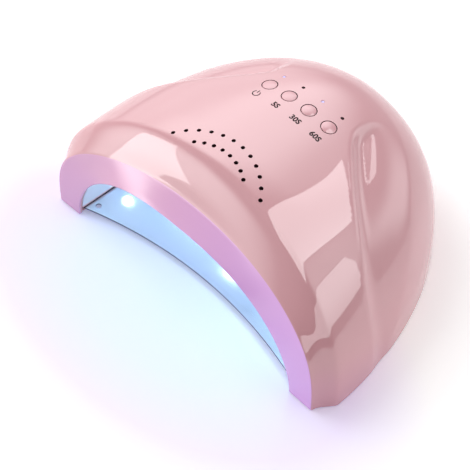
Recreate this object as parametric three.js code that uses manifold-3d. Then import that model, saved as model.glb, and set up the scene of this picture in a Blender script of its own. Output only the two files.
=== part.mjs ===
// Salon nail lamp: a glossy domed hood over an arched hand cavity, with a control panel on
// top, a mirror steel tray that slides out of the floor, and the boards and LEDs inside.
// Units are millimetres.  The parts are laid out with Y = 0 at the front feet and Z = 0 at
// the hood's rim, and the whole lamp is then moved so that the origin is the bottom centre.
import * as THREE from 'three';
import { mergeVertices } from 'three/addons/utils/BufferGeometryUtils.js';
import Module from 'manifold-3d';

const wasm = await Module();
wasm.setup();

// ---- driving dimensions ----------------------------------------------------------------

const HALF_PI = Math.PI / 2;
const GAP = 0.3;

// Hood: superellipse cross-sections whose half width and height change along Y.
const BODY = {
  halfWidth: 104.9, widestY: 12.6, widthPower: 1.83, widthRoot: 2.25,
  height: 87.3, crestY: 43.6, heightPower: 4.36, heightRoot: 2.1, frontFall: 0.004,
  rearY: 157.4, n: 1.83, m: 2.92, cornerPower: 1.7,
};
// Outer edge of the front band, whose crown leans back from its feet.
const BAND = { halfWidth: 98, height: 66.1, n: 2.03, m: 3.28, crownSetback: 11.7 };
// Inner edge of the front band, which is the mouth of the hand cavity.
const MOUTH = { halfWidth: 81.8, height: 58.2, n: 2.52, m: 1.87, frontY: 0.3 };
const WALL = 2.4;
const FRONT_ROLL = { length: 12, crownExtra: 5, power: 1.2, crownPower: 0.5 };

// Grip scoop on each shoulder, by section angle in degrees and distance behind its front rim:
// a steep wall along the rim and the upper end, then a long rise back to the hood.
const SCOOP = {
  depth: 4, topAngle: 22.6, angleSpan: 79.5, length: 55, endPower: 0.6,
  rimY: 40, rimCurve: 0.0195, rimAngle: 76, wallLength: 12, endWallAngle: 5, risePower: 1.5,
  fadeOutFrom: 60, footShare: 0.25,
};
// Broad swelling of each shoulder that the scoop is cut into.
const SHOULDER = { rise: 2.5, angle: 50, angleReach: 30, y: 66, yReach: 50 };

// Distance behind the band's outer edge of the first rows of the hood's two sheets.
const OUTER_ROWS = [0, 2, 5, 9, 13, 18];
const INNER_ROWS = [4.5, 6.5, 9.5, 13.5, 18];

// Control panel.
const BUTTON = {
  pitch: 14.2, y: 86.3, radius: 4.35, hole: 4.65, proud: 0.6, travel: 0.5,
  collar: 5.6, collarHeight: 1.2, collarGap: 0.5, stem: 1.8,
};
const LAMP_HOLE = { pitch: 14, y: 96.6, radius: 1, pipe: 0.8, sunk: 0.3 };
const VENT_ARCS = [
  { count: 12, radius: 40.1, pitch: 0.1658 },
  { count: 8, radius: 31.8, pitch: 0.1698 },
];
const VENT = { centreY: 3.3, radius: 1.15 };

// Hand cavity and its reflector.
const CAVITY = {
  halfWidth: 82.4, taperY: 60, endY: 125, power: 2.2, height: 60, frontHeight: 58.8, fallY: 50, fallPower: 2.5,
};
const LINER = { wall: 1.6, footZ: 3.7, frontY: 3.3, crownSetback: 8 };

// Bottom cover with the slot that the tray slides in.
const COVER = { thickness: 3.4, ledge: 0.6, slotTop: 2.1 };
const TRAY = { bottomZ: 0.8, topZ: 1.8, margin: 1.7, slotMargin: 2.1, frontDip: 18, frontCornerY: 4 };
const TRAY_HOLE = { x: 78, y: 11, radius: 1.6 };
const FOOT = { radius: 4.6, standOff: 0.6, recess: 0.9 };
const FOOT_SPOTS = [[-93.5, 14], [93.5, 14], [-62, 116], [62, 116]];

// Screws: shank radius, head radius and head height.
const COVER_SCREW = { shank: 1.35, head: 2.8, headHeight: 1.5, length: 9.5 };
const SMALL_SCREW = { shank: 1.05, head: 2, headHeight: 1.2, length: 4.2 };
const COVER_SCREW_SPOTS = [[-92, 32], [92, 32], [-91, 66], [91, 66], [-45, 131], [45, 131]];
const BOSS_RADIUS = 3.2;
const SMALL_BOSS_RADIUS = 2.6;
const SCREW_PLAY = 0.2;

// Boards.
const CONTROL = { halfWidth: 32, frontY: 75, rearY: 104, bottomZ: 68, thickness: 1.6 };
const CONTROL_SCREW_SPOTS = [[-28.5, 79], [28.5, 79], [-28.5, 100], [28.5, 100]];
const SWITCH = { side: 6, height: 3.4, plungerRadius: 1.7, plungerHeight: 2.6, plungerFoot: 1.4, play: 0.25 };
const DRIVER = { halfWidth: 26, frontY: 129.5, rearY: 149, bottomZ: 5, thickness: 1.6 };
const DRIVER_SCREW_SPOTS = [[-21, 134], [21, 134]];
const JACK = { width: 9.6, frontY: 139.5, rearY: 152.6, nose: 4.5, noseEndY: 156.7, axisZ: 12.6, bore: 3.3, pin: 1 };
const JACK_DEPTH = { bore: 12, pinRecess: 4.8 };

// Ribbon cable: its route in Y and Z, from the driver board to the control board.
const RIBBON = {
  x: 15, width: 7, thickness: 0.9, steps: 18,
  route: [[132, 7.6], [133.5, 24], [131, 42], [122, 57], [112, 64], [104, 66.6]],
};

// LED strips: section angles in degrees, places along Y and the bead sizes.
const STRIP = { width: 9, thickness: 1, standOff: 0.5 };
const BEAD = { radius: 2.7, window: 3.1, reach: 1.2, dome: 1.4 };
const ARCH_STRIPS = [
  { name: 'led_strip_front', y: 43, beads: 2, spread: 15 },
  { name: 'led_strip_middle', y: 54, beads: 7, spread: 60 },
  { name: 'led_strip_rear', y: 88, beads: 8, spread: 60 },
];
const STRIP_END_ANGLE = 5;
const SIDE_STRIP = { angle: 73, halfAngle: 3.6, frontY: 22, rearY: 78, beadY: [28, 50, 72] };
const SENSOR = { y: 28, width: 12, length: 9, height: 3, windowRadius: 2.4, reach: 0.8 };

// Levels and spans well clear of the lamp, for tools that cut right through a wall.
const PANEL_CUT = { low: 60, high: 95 };
const VENT_CUT_LOW = 70;
const SENSOR_CUT = { low: 50, high: 70, play: 0.4 };
const FAR = 200;

// ---- small helpers ---------------------------------------------------------------------

const clamp01 = (t) => Math.min(1, Math.max(0, t));
const sideOf = (angle, n) => Math.sign(Math.sin(angle)) * Math.abs(Math.sin(angle)) ** (2 / n);
const riseOf = (angle, m) => Math.abs(Math.cos(angle)) ** (2 / m);
const degrees = THREE.MathUtils.degToRad;

function evenSteps(count, first, last) {
  return Array.from({ length: count }, (_, i) => first + ((last - first) * i) / (count - 1));
}

function signedVolume(position, corner) {
  const at = (i) => new THREE.Vector3().fromBufferAttribute(position, i);
  let volume = 0;
  for (let i = 0; i < corner.length; i += 3) {
    volume += at(corner[i]).dot(at(corner[i + 1]).cross(at(corner[i + 2]))) / 6;
  }
  return volume;
}

// Solid from a closed surface: points that coincide become one, triangles that collapse at a
// pole are dropped, and the rest are turned to face outward.
function toSolid(geometry) {
  const bare = new THREE.BufferGeometry();
  bare.setAttribute('position', geometry.attributes.position);
  bare.setIndex(geometry.index);
  const merged = mergeVertices(bare, 1e-4);
  const corner = merged.index.array;
  const kept = [];
  for (let i = 0; i < corner.length; i += 3) {
    const [a, b, c] = [corner[i], corner[i + 1], corner[i + 2]];
    if (a !== b && b !== c && c !== a) kept.push(a, b, c);
  }
  if (signedVolume(merged.attributes.position, kept) < 0) kept.reverse();
  return new wasm.Manifold(new wasm.Mesh({
    numProp: 3,
    vertProperties: new Float32Array(merged.attributes.position.array),
    triVerts: new Uint32Array(kept),
  }));
}

// Solid between two sheets of points that have the same rows and columns.
function sheetSolid(outer, inner) {
  const rows = outer.length;
  const columns = outer[0].length;
  const points = [...outer.flat(), ...inner.flat()];
  const o = (r, c) => r * columns + c;
  const i = (r, c) => rows * columns + r * columns + c;
  const triangles = [];
  const quad = (a, b, c, d) => triangles.push([a, b, c], [a, c, d]);
  for (let r = 0; r < rows - 1; r += 1) {
    for (let c = 0; c < columns - 1; c += 1) {
      quad(o(r, c), o(r, c + 1), o(r + 1, c + 1), o(r + 1, c));
      quad(i(r, c), i(r + 1, c), i(r + 1, c + 1), i(r, c + 1));
    }
    quad(o(r, 0), o(r + 1, 0), i(r + 1, 0), i(r, 0));
    quad(o(r, columns - 1), i(r, columns - 1), i(r + 1, columns - 1), o(r + 1, columns - 1));
  }
  for (let c = 0; c < columns - 1; c += 1) {
    quad(o(0, c), i(0, c), i(0, c + 1), o(0, c + 1));
    quad(o(rows - 1, c), o(rows - 1, c + 1), i(rows - 1, c + 1), i(rows - 1, c));
  }
  const surface = new THREE.BufferGeometry();
  surface.setAttribute('position', new THREE.Float32BufferAttribute(points.flatMap((p) => p.toArray()), 3));
  surface.setIndex(triangles.flat());
  return toSolid(surface);
}

function toGeometry(solid) {
  const mesh = solid.getMesh();
  const geometry = new THREE.BufferGeometry();
  geometry.setAttribute('position', new THREE.BufferAttribute(new Float32Array(mesh.vertProperties), 3));
  geometry.setIndex(new THREE.BufferAttribute(new Uint32Array(mesh.triVerts), 1));
  geometry.computeVertexNormals();
  return geometry;
}

// Upright round rod from z0 to z1.
function rod(x, y, z0, z1, radius, sides = 12) {
  const geometry = new THREE.CylinderGeometry(radius, radius, z1 - z0, sides);
  geometry.rotateX(HALF_PI);
  geometry.translate(x, y, (z0 + z1) / 2);
  return toSolid(geometry);
}

// Round rod along Y from y0 to y1.
function rodAlongY(x, z, y0, y1, radius, sides = 16) {
  const geometry = new THREE.CylinderGeometry(radius, radius, y1 - y0, sides);
  geometry.translate(x, (y0 + y1) / 2, z);
  return toSolid(geometry);
}

function block(x0, x1, y0, y1, z0, z1) {
  const geometry = new THREE.BoxGeometry(x1 - x0, y1 - y0, z1 - z0);
  geometry.translate((x0 + x1) / 2, (y0 + y1) / 2, (z0 + z1) / 2);
  return toSolid(geometry);
}

// Flat plate with the given outline between z0 and z1.
function plate(outline, z0, z1) {
  const shape = new THREE.Shape(outline.map(([x, y]) => new THREE.Vector2(x, y)));
  const geometry = new THREE.ExtrudeGeometry(shape, { depth: z1 - z0, bevelEnabled: false });
  geometry.translate(0, 0, z0);
  return toSolid(geometry);
}

// Turned piece whose profile runs up from its base at a point, along a direction.
function turned(profile, base, direction, sides) {
  const geometry = new THREE.LatheGeometry(profile.map(([r, h]) => new THREE.Vector2(r, h)), sides);
  const turn = new THREE.Quaternion().setFromUnitVectors(new THREE.Vector3(0, 1, 0), direction);
  geometry.applyQuaternion(turn);
  geometry.translate(base.x, base.y, base.z);
  return toSolid(geometry);
}

const joined = (solids) => solids.reduce((whole, next) => whole.add(next));
const cut = (solid, tools) => tools.reduce((rest, tool) => rest.subtract(tool), solid);

const lamp = new THREE.Group();

function addPart(name, solid, look) {
  const mesh = new THREE.Mesh(toGeometry(solid), new THREE.MeshStandardMaterial(look));
  mesh.name = name;
  lamp.add(mesh);
}

const LOOK = {
  gloss: { color: 0xe9b9c0, roughness: 0.12, metalness: 0 },
  reflector: { color: 0xe8ecf2, roughness: 0.25, metalness: 0.3 },
  base: { color: 0xd9a6ae, roughness: 0.45, metalness: 0 },
  mirror: { color: 0xd4d8de, roughness: 0.08, metalness: 1 },
  rubber: { color: 0x2b2b2e, roughness: 0.8, metalness: 0 },
  board: { color: 0x1f6b45, roughness: 0.5, metalness: 0 },
  strip: { color: 0xf2f2f0, roughness: 0.5, metalness: 0 },
  black: { color: 0x1b1b1e, roughness: 0.45, metalness: 0 },
  steel: { color: 0xb5b8bd, roughness: 0.35, metalness: 1 },
  lens: { color: 0xcfe2ff, roughness: 0.1, metalness: 0 },
  sleeve: { color: 0x2d3f78, roughness: 0.4, metalness: 0 },
};

// ---- hood surface ----------------------------------------------------------------------

function bodyHalfWidth(y) {
  const back = clamp01((y - BODY.widestY) / (BODY.rearY - BODY.widestY));
  const front = clamp01((BODY.widestY - y) / BODY.widestY);
  const rear = BODY.halfWidth * (1 - back ** BODY.widthPower) ** (1 / BODY.widthRoot);
  return rear - (BODY.halfWidth - BAND.halfWidth) * front ** BODY.cornerPower;
}

function bodyHeight(y) {
  const back = clamp01((y - BODY.crestY) / (BODY.rearY - BODY.crestY));
  const front = Math.max(0, BODY.crestY - y);
  return BODY.height * (1 - back ** BODY.heightPower) ** (1 / BODY.heightRoot) - BODY.frontFall * front ** 2;
}

const frontEdgeY = (angle) => BAND.crownSetback * Math.cos(angle) ** 2;

// Height of the hood over a point that is behind the front roll.
function hoodTop(x, y) {
  return bodyHeight(y) * (1 - (Math.abs(x) / bodyHalfWidth(y)) ** BODY.n) ** (1 / BODY.m);
}

// Plain hood surface at a section angle and a distance behind the band's outer edge.
function plainHood(angle, behind) {
  const y = frontEdgeY(angle) + behind;
  const crown = Math.cos(angle) ** 2;
  const rollLength = FRONT_ROLL.length + FRONT_ROLL.crownExtra * crown;
  const rollPower = FRONT_ROLL.power + FRONT_ROLL.crownPower * crown;
  const blend = 1 - (1 - clamp01(behind / rollLength)) ** rollPower;
  const front = [BAND.halfWidth * sideOf(angle, BAND.n), BAND.height * riseOf(angle, BAND.m)];
  const body = [bodyHalfWidth(y) * sideOf(angle, BODY.n), bodyHeight(y) * riseOf(angle, BODY.m)];
  const [x, z] = front.map((v, i) => v + (body[i] - v) * blend);
  return new THREE.Vector3(x, y, z);
}

// Steps of angle and Y for slopes, the least distance from a foot, and the first Y that is used.
const STEP = { angle: 0.001, y: 0.05, foot: 0.002, start: 0.02 };
const offFoot = (angle) => Math.min(Math.max(angle, -HALF_PI + STEP.foot), HALF_PI - STEP.foot);

function normalOf(surface, u, v, stepU, stepV) {
  const alongU = surface(u + stepU, v).sub(surface(u - stepU, v));
  const alongV = surface(u, v + stepV).sub(surface(u, v - stepV));
  return alongU.cross(alongV).normalize();
}

const rounded = (t) => clamp01(t) * (2 - clamp01(t));
const swell = (t) => Math.cos(HALF_PI * clamp01(Math.abs(t))) ** 2;

function scoopDepth(tilt, y) {
  if (tilt <= SCOOP.topAngle) return 0;
  const rim = SCOOP.rimY + SCOOP.rimCurve * Math.max(0, SCOOP.rimAngle - tilt) ** 2;
  const around = ((tilt - SCOOP.topAngle) / SCOOP.angleSpan) ** SCOOP.endPower;
  const length = SCOOP.length * Math.sin(Math.PI * around);
  const behind = y - rim;
  if (behind <= 0 || behind >= length) return 0;
  const walls = rounded(behind / SCOOP.wallLength) * rounded((tilt - SCOOP.topAngle) / SCOOP.endWallAngle);
  const rise = (1 - (behind / length) ** 2) ** SCOOP.risePower;
  const low = clamp01((tilt - SCOOP.fadeOutFrom) / (90 - SCOOP.fadeOutFrom));
  return SCOOP.depth * walls * rise * (1 - (1 - SCOOP.footShare) * low);
}

// How far the shoulders and scoops move the hood inward.
function sculpting(angle, y) {
  const tilt = THREE.MathUtils.radToDeg(Math.abs(angle));
  const shoulder = swell((tilt - SHOULDER.angle) / SHOULDER.angleReach) * swell((y - SHOULDER.y) / SHOULDER.yReach);
  return scoopDepth(tilt, y) - SHOULDER.rise * shoulder;
}

// Hood surface with its shoulders and scoops, moved inward by a depth.
function hoodPoint(angle, behind, inward) {
  const length = BODY.rearY - frontEdgeY(angle);
  if (behind >= length) return new THREE.Vector3(0, BODY.rearY - inward, 0);
  const point = plainHood(angle, behind);
  const reach = Math.min(STEP.y, (length - behind) / 2, (behind + STEP.start) / 2);
  const inset = inward + sculpting(angle, point.y);
  const normal = normalOf(plainHood, offFoot(angle), Math.max(behind, STEP.start), STEP.angle, reach);
  point.addScaledVector(normal, -inset * Math.sign(normal.dot(outwardHint(point))));
  if (Math.abs(angle) > HALF_PI - 1e-6) point.z = 0;
  return point;
}

const outwardHint = (point) => new THREE.Vector3(point.x, point.y - BODY.crestY, point.z + 20);

// Rows of the outer and inner hood sheets, from the mouth edge back to the rear foot.
function hoodSheets(columns, tailRows) {
  const angles = evenSteps(columns, -HALF_PI, HALF_PI);
  const rollEnd = OUTER_ROWS.at(-1);
  const tail = (angle, i) => {
    const length = BODY.rearY - frontEdgeY(angle) - rollEnd;
    return rollEnd + length * Math.sin((HALF_PI * i) / tailRows);
  };
  const mouth = (y) => angles.map((a) => new THREE.Vector3(
    MOUTH.halfWidth * sideOf(a, MOUTH.n), y, MOUTH.height * riseOf(a, MOUTH.m)));
  const innerEdge = angles.map((a) => new THREE.Vector3(
    (BAND.halfWidth - WALL) * sideOf(a, BAND.n),
    frontEdgeY(a) + WALL + GAP,
    (BAND.height - WALL) * riseOf(a, BAND.m)));
  const outer = [mouth(MOUTH.frontY), ...OUTER_ROWS.map((u) => angles.map((a) => hoodPoint(a, u, 0)))];
  const inner = [mouth(MOUTH.frontY + WALL), innerEdge,
    ...INNER_ROWS.map((u) => angles.map((a) => hoodPoint(a, u, WALL)))];
  for (let i = 1; i <= tailRows; i += 1) {
    outer.push(angles.map((a) => hoodPoint(a, tail(a, i), 0)));
    inner.push(angles.map((a) => hoodPoint(a, tail(a, i), WALL)));
  }
  return { outer, inner };
}

// ---- hand cavity surface ---------------------------------------------------------------

// Half width of the cavity outline, widened all round by a margin.
function cavityHalfWidth(y, margin) {
  const back = clamp01((y - CAVITY.taperY) / (CAVITY.endY + margin - CAVITY.taperY));
  return (CAVITY.halfWidth + margin) * (1 - back ** CAVITY.power) ** (1 / CAVITY.power);
}

function cavityHeight(y) {
  const back = clamp01((y - CAVITY.fallY) / (CAVITY.endY - CAVITY.fallY));
  const front = clamp01(y / CAVITY.fallY);
  const crest = CAVITY.frontHeight + (CAVITY.height - CAVITY.frontHeight) * front;
  return crest * (1 - back ** CAVITY.fallPower) ** (1 / CAVITY.power);
}

function plainCavity(angle, y) {
  return new THREE.Vector3(
    cavityHalfWidth(y, 0) * sideOf(angle, MOUTH.n), y, cavityHeight(y) * riseOf(angle, MOUTH.m));
}

function cavityNormal(angle, y) {
  const normal = normalOf(plainCavity, offFoot(angle), Math.min(y, CAVITY.endY - 2 * STEP.y), STEP.angle, STEP.y);
  const outward = plainCavity(angle, y).sub(new THREE.Vector3(0, CAVITY.fallY, 0));
  return normal.multiplyScalar(Math.sign(normal.dot(outward)));
}

// Point of the cavity surface moved outward by an offset.
function cavityPoint(angle, y, offset) {
  if (y >= CAVITY.endY) return new THREE.Vector3(0, CAVITY.endY + offset, 0);
  const point = plainCavity(angle, y).addScaledVector(cavityNormal(angle, y), offset);
  if (Math.abs(angle) > HALF_PI - 1e-6) point.z = 0;
  return point;
}

function cavityPatch(angles, ys, offset0, offset1) {
  const sheet = (offset) => ys.map((y) => angles.map((a) => cavityPoint(a, y, offset)));
  return sheetSolid(sheet(offset1), sheet(offset0));
}

// Outline from the front corners round the rear, at a margin outside the cavity.
function cavityOutline(margin, frontY) {
  const endY = CAVITY.endY + margin;
  const side = evenSteps(15, 0, HALF_PI).map((t) => {
    const y = CAVITY.taperY + (endY - CAVITY.taperY) * Math.sin(t);
    return [cavityHalfWidth(y, margin), y];
  });
  side[side.length - 1] = [0, endY];
  const left = side.slice(0, -1).reverse().map(([x, y]) => [-x, y]);
  return [[CAVITY.halfWidth + margin, frontY], ...side, ...left, [-CAVITY.halfWidth - margin, frontY]];
}

// ---- parts -----------------------------------------------------------------------------

const sheets = hoodSheets(33, 15);
const fromBand = sheets.outer.slice(1);
const underHood = sheetSolid(fromBand, fromBand.map((row) => row.map((p) => new THREE.Vector3(p.x, p.y, 0))));

function ventSpots() {
  return VENT_ARCS.flatMap(({ count, radius, pitch }) => Array.from({ length: count }, (_, i) => {
    const turn = (i - (count - 1) / 2) * pitch;
    return [radius * Math.sin(turn), VENT.centreY + radius * Math.cos(turn)];
  }));
}

const panelX = (pitch) => [-1.5, -0.5, 0.5, 1.5].map((step) => step * pitch);

function makeHood() {
  const bosses = COVER_SCREW_SPOTS.map(([x, y]) => rod(x, y, LINER.footZ, BODY.height, BOSS_RADIUS));
  const boardBosses = CONTROL_SCREW_SPOTS.map(([x, y]) => (
    rod(x, y, CONTROL.bottomZ + CONTROL.thickness + GAP, BODY.height, SMALL_BOSS_RADIUS, 10)));
  const columns = joined([...bosses, ...boardBosses]).intersect(underHood);
  const pilots = COVER_SCREW_SPOTS.map(([x, y]) => rod(x, y, 0, 16, COVER_SCREW.shank + SCREW_PLAY, 10));
  const boardPilots = CONTROL_SCREW_SPOTS.map(([x, y]) => (
    rod(x, y, CONTROL.bottomZ, CONTROL.bottomZ + 6, SMALL_SCREW.shank + SCREW_PLAY, 8)));
  const buttons = panelX(BUTTON.pitch).map((x) => rod(x, BUTTON.y, PANEL_CUT.low, PANEL_CUT.high, BUTTON.hole, 20));
  const lamps = panelX(LAMP_HOLE.pitch).map((x) => (
    rod(x, LAMP_HOLE.y, PANEL_CUT.low, PANEL_CUT.high, LAMP_HOLE.radius, 8)));
  const vents = ventSpots().map(([x, y]) => rod(x, y, VENT_CUT_LOW, PANEL_CUT.high, VENT.radius, 7));
  const slotHalf = CAVITY.halfWidth + TRAY.slotMargin;
  const slot = block(-slotHalf, slotHalf, -1, 8, -1, COVER.slotTop);
  const jackHole = rodAlongY(0, JACK.axisZ, JACK.rearY + GAP, BODY.rearY + 5, JACK.nose + 0.25);
  return cut(sheetSolid(sheets.outer, sheets.inner).add(columns),
    [...pilots, ...boardPilots, ...buttons, ...lamps, ...vents, slot, jackHole]);
}

function makeLiner(beadSpots) {
  const angles = evenSteps(23, -HALF_PI, HALF_PI);
  const rows = 11;
  const startY = (a) => LINER.frontY + LINER.crownSetback * Math.cos(a) ** 2;
  const sheet = (offset) => evenSteps(rows, 0, HALF_PI).map((t) => angles.map((a) => (
    cavityPoint(a, t === HALF_PI ? CAVITY.endY : startY(a) + (CAVITY.endY - startY(a)) * Math.sin(t), offset))));
  const windows = beadSpots.map(({ angle, y }) => {
    const normal = cavityNormal(angle, y);
    const base = cavityPoint(angle, y, -3);
    return turned([[0, 0], [BEAD.window, 0], [BEAD.window, 8], [0, 8]], base, normal, 8);
  });
  const below = block(-FAR, FAR, -FAR, FAR, -FAR, LINER.footZ);
  const sensorWindow = rod(0, SENSOR.y, SENSOR_CUT.low, SENSOR_CUT.high, SENSOR.windowRadius + SENSOR_CUT.play, 12);
  return cut(sheetSolid(sheet(LINER.wall), sheet(0)), [below, sensorWindow, ...windows]);
}

// One LED bead, from inside its strip through the liner into the cavity.
function makeBead({ angle, y }) {
  const inward = cavityNormal(angle, y).negate();
  const root = LINER.wall + STRIP.standOff + STRIP.thickness / 2;
  const length = root + BEAD.reach;
  const profile = [[0, 0], [BEAD.radius, 0], [BEAD.radius, length - BEAD.dome],
    [BEAD.radius * 0.6, length - BEAD.dome * 0.2], [0, length]];
  return turned(profile, cavityPoint(angle, y, root), inward, 8);
}

function archBeads({ y, beads, spread }) {
  return evenSteps(beads, -degrees(spread), degrees(spread)).map((angle) => ({ angle, y }));
}

const stripBack = LINER.wall + STRIP.standOff;

function makeArchStrip(strip) {
  const edge = degrees(strip.spread + STRIP_END_ANGLE);
  const ys = [strip.y - STRIP.width / 2, strip.y + STRIP.width / 2];
  const flex = cavityPatch(evenSteps(17, -edge, edge), ys, stripBack, stripBack + STRIP.thickness);
  return joined([flex, ...archBeads(strip).map(makeBead)]);
}

const sideBeads = (side) => SIDE_STRIP.beadY.map((y) => ({ angle: side * degrees(SIDE_STRIP.angle), y }));

function makeSideStrip(side) {
  const low = degrees(SIDE_STRIP.angle - SIDE_STRIP.halfAngle);
  const high = degrees(SIDE_STRIP.angle + SIDE_STRIP.halfAngle);
  const ys = evenSteps(6, SIDE_STRIP.frontY, SIDE_STRIP.rearY);
  const flex = cavityPatch(evenSteps(3, side * low, side * high), ys, stripBack, stripBack + STRIP.thickness);
  return joined([flex, ...sideBeads(side).map(makeBead)]);
}

function makeSensor() {
  const base = CAVITY.height + LINER.wall + STRIP.standOff;
  const body = block(-SENSOR.width / 2, SENSOR.width / 2, SENSOR.y - SENSOR.length / 2,
    SENSOR.y + SENSOR.length / 2, base, base + SENSOR.height);
  return body.add(rod(0, SENSOR.y, CAVITY.height - SENSOR.reach, base + 1, SENSOR.windowRadius, 12));
}

// Outline of the cover just inside the hood wall.
function coverOutline() {
  const inset = WALL + GAP;
  const lastY = BODY.rearY - inset;
  const side = evenSteps(19, 0, HALF_PI).map((t) => {
    const y = BODY.widestY + (lastY - BODY.widestY) * Math.sin(t);
    const span = (y - BODY.widestY) / (lastY - BODY.widestY);
    const halfWidth = (BODY.halfWidth - inset) * (1 - span ** BODY.widthPower) ** (1 / BODY.widthRoot);
    return [Math.max(halfWidth - SCOOP.depth * SCOOP.footShare, 0), y];
  });
  side[side.length - 1] = [0, lastY];
  const cornerX = BAND.halfWidth - inset - 0.6;
  const left = side.slice(0, -1).reverse().map(([x, y]) => [-x, y]);
  const frontY = MOUTH.frontY + WALL + GAP + 0.4;
  return [[cornerX, frontY], ...side, ...left, [-cornerX, frontY]];
}

function makeCover() {
  const slab = plate(coverOutline(), 0, COVER.thickness);
  const opening = plate(cavityOutline(0, -5), -1, COVER.thickness + 1);
  const slot = plate(cavityOutline(TRAY.slotMargin, -5), COVER.ledge, COVER.slotTop);
  const posts = DRIVER_SCREW_SPOTS.map(([x, y]) => rod(x, y, 2, DRIVER.bottomZ - GAP, SMALL_BOSS_RADIUS, 10));
  const screwHoles = COVER_SCREW_SPOTS.map(([x, y]) => rod(x, y, -1, 6, COVER_SCREW.shank + SCREW_PLAY, 10));
  const headRooms = COVER_SCREW_SPOTS.map(([x, y]) => (
    rod(x, y, -1, COVER_SCREW.headHeight + GAP, COVER_SCREW.head + GAP)));
  const postHoles = DRIVER_SCREW_SPOTS.map(([x, y]) => rod(x, y, 1.4, 8, SMALL_SCREW.shank + SCREW_PLAY, 8));
  const footRooms = FOOT_SPOTS.map(([x, y]) => rod(x, y, -1, FOOT.recess, FOOT.radius + GAP));
  return cut(joined([slab, ...posts]), [opening, slot, ...screwHoles, ...headRooms, ...postHoles, ...footRooms]);
}

// Mirror tray whose front edge curves in towards the hand.
function makeTray() {
  const halfWidth = CAVITY.halfWidth + TRAY.margin;
  const curve = (TRAY.frontDip - TRAY.frontCornerY) / halfWidth ** 2;
  const rim = cavityOutline(TRAY.margin, TRAY.frontCornerY);
  const front = evenSteps(21, -halfWidth, halfWidth).slice(1, -1).map((x) => [x, TRAY.frontDip - curve * x * x]);
  const holes = [-1, 1].map((side) => rod(side * TRAY_HOLE.x, TRAY_HOLE.y, 0, 3, TRAY_HOLE.radius));
  return cut(plate([...rim, ...front], TRAY.bottomZ, TRAY.topZ), holes);
}

// Screw with its head at headZ and its shank along +Z or -Z.
function makeScrew(x, y, headZ, up, size) {
  const tip = size.length + size.headHeight;
  const profile = [[0, 0], [size.head * 0.8, 0], [size.head, size.headHeight * 0.5], [size.head, size.headHeight],
    [size.shank, size.headHeight], [size.shank, tip - 1], [0, tip]];
  const screw = turned(profile, new THREE.Vector3(x, y, headZ), new THREE.Vector3(0, 0, up), 8);
  const driverSlot = block(x - 0.3, x + 0.3, y - size.head, y + size.head, headZ - 0.5, headZ + 0.5);
  return screw.subtract(driverSlot);
}

const boardTop = CONTROL.bottomZ + CONTROL.thickness;
const switchTop = boardTop + GAP + SWITCH.height;
const plungerFoot = boardTop + GAP + SWITCH.plungerFoot;
const plungerTop = plungerFoot + SWITCH.plungerHeight;

// Lowest hood underside over a disc of the panel.
function lowestUnderside(x, radius) {
  const around = evenSteps(24, 0, 2 * Math.PI);
  return Math.min(...around.map((t) => hoodTop(x + radius * Math.cos(t), BUTTON.y + radius * Math.sin(t)))) - WALL;
}

function makeButton(x) {
  const collarTop = lowestUnderside(x, BUTTON.collar) - BUTTON.collarGap;
  const collarFoot = collarTop - BUTTON.collarHeight;
  const raised = underHood.translate([0, 0, BUTTON.proud]);
  const cap = rod(x, BUTTON.y, (collarFoot + collarTop) / 2, PANEL_CUT.high, BUTTON.radius, 20).intersect(raised);
  const collar = rod(x, BUTTON.y, collarFoot, collarTop, BUTTON.collar, 16);
  const stem = rod(x, BUTTON.y, plungerTop + GAP, (collarFoot + collarTop) / 2, BUTTON.stem, 10);
  return joined([cap, collar, stem]);
}

function makeSwitch(x) {
  const half = SWITCH.side / 2;
  const body = block(x - half, x + half, BUTTON.y - half, BUTTON.y + half, boardTop + GAP, switchTop);
  const well = plungerFoot - BUTTON.travel - 0.2;
  return body.subtract(rod(x, BUTTON.y, well, switchTop + 1, SWITCH.plungerRadius + SWITCH.play, 12));
}

function makePlunger(x) {
  return rod(x, BUTTON.y, plungerFoot, plungerTop, SWITCH.plungerRadius, 12);
}

function makeControlBoard() {
  const { halfWidth, frontY, rearY, bottomZ } = CONTROL;
  return cut(block(-halfWidth, halfWidth, frontY, rearY, bottomZ, boardTop), CONTROL_SCREW_SPOTS.map(([x, y]) => rod(x, y, 60, 75, SMALL_SCREW.shank + 0.25, 8)));
}

const driverTop = DRIVER.bottomZ + DRIVER.thickness;

function makeDriverBoard() {
  const board = block(-DRIVER.halfWidth, DRIVER.halfWidth, DRIVER.frontY, DRIVER.rearY, DRIVER.bottomZ, driverTop);
  const nick = block(12, DRIVER.halfWidth + 1, DRIVER.rearY - 5, DRIVER.rearY + 1, 0, 10);
  const otherNick = block(-DRIVER.halfWidth - 1, -12, DRIVER.rearY - 5, DRIVER.rearY + 1, 0, 10);
  const holes = DRIVER_SCREW_SPOTS.map(([x, y]) => rod(x, y, 0, 10, SMALL_SCREW.shank + 0.25, 8));
  return cut(board, [nick, otherNick, ...holes]);
}

function makeJack() {
  const half = JACK.width / 2;
  const body = block(-half, half, JACK.frontY, JACK.rearY, driverTop + GAP, JACK.axisZ + 5);
  const nose = rodAlongY(0, JACK.axisZ, JACK.rearY - 1, JACK.noseEndY, JACK.nose);
  const boreFloor = JACK.noseEndY - JACK_DEPTH.bore;
  const bore = rodAlongY(0, JACK.axisZ, boreFloor, JACK.noseEndY + 1, JACK.bore);
  const pin = rodAlongY(0, JACK.axisZ, boreFloor - 1, JACK.noseEndY - JACK_DEPTH.pinRecess, JACK.pin, 8);
  return body.add(nose).subtract(bore).add(pin);
}

function makeRing(x, y, z0, z1, outerRadius, innerRadius) {
  return rod(x, y, z0, z1, outerRadius, 16).subtract(rod(x, y, z0 - 1, z1 + 1, innerRadius, 12));
}

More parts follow.
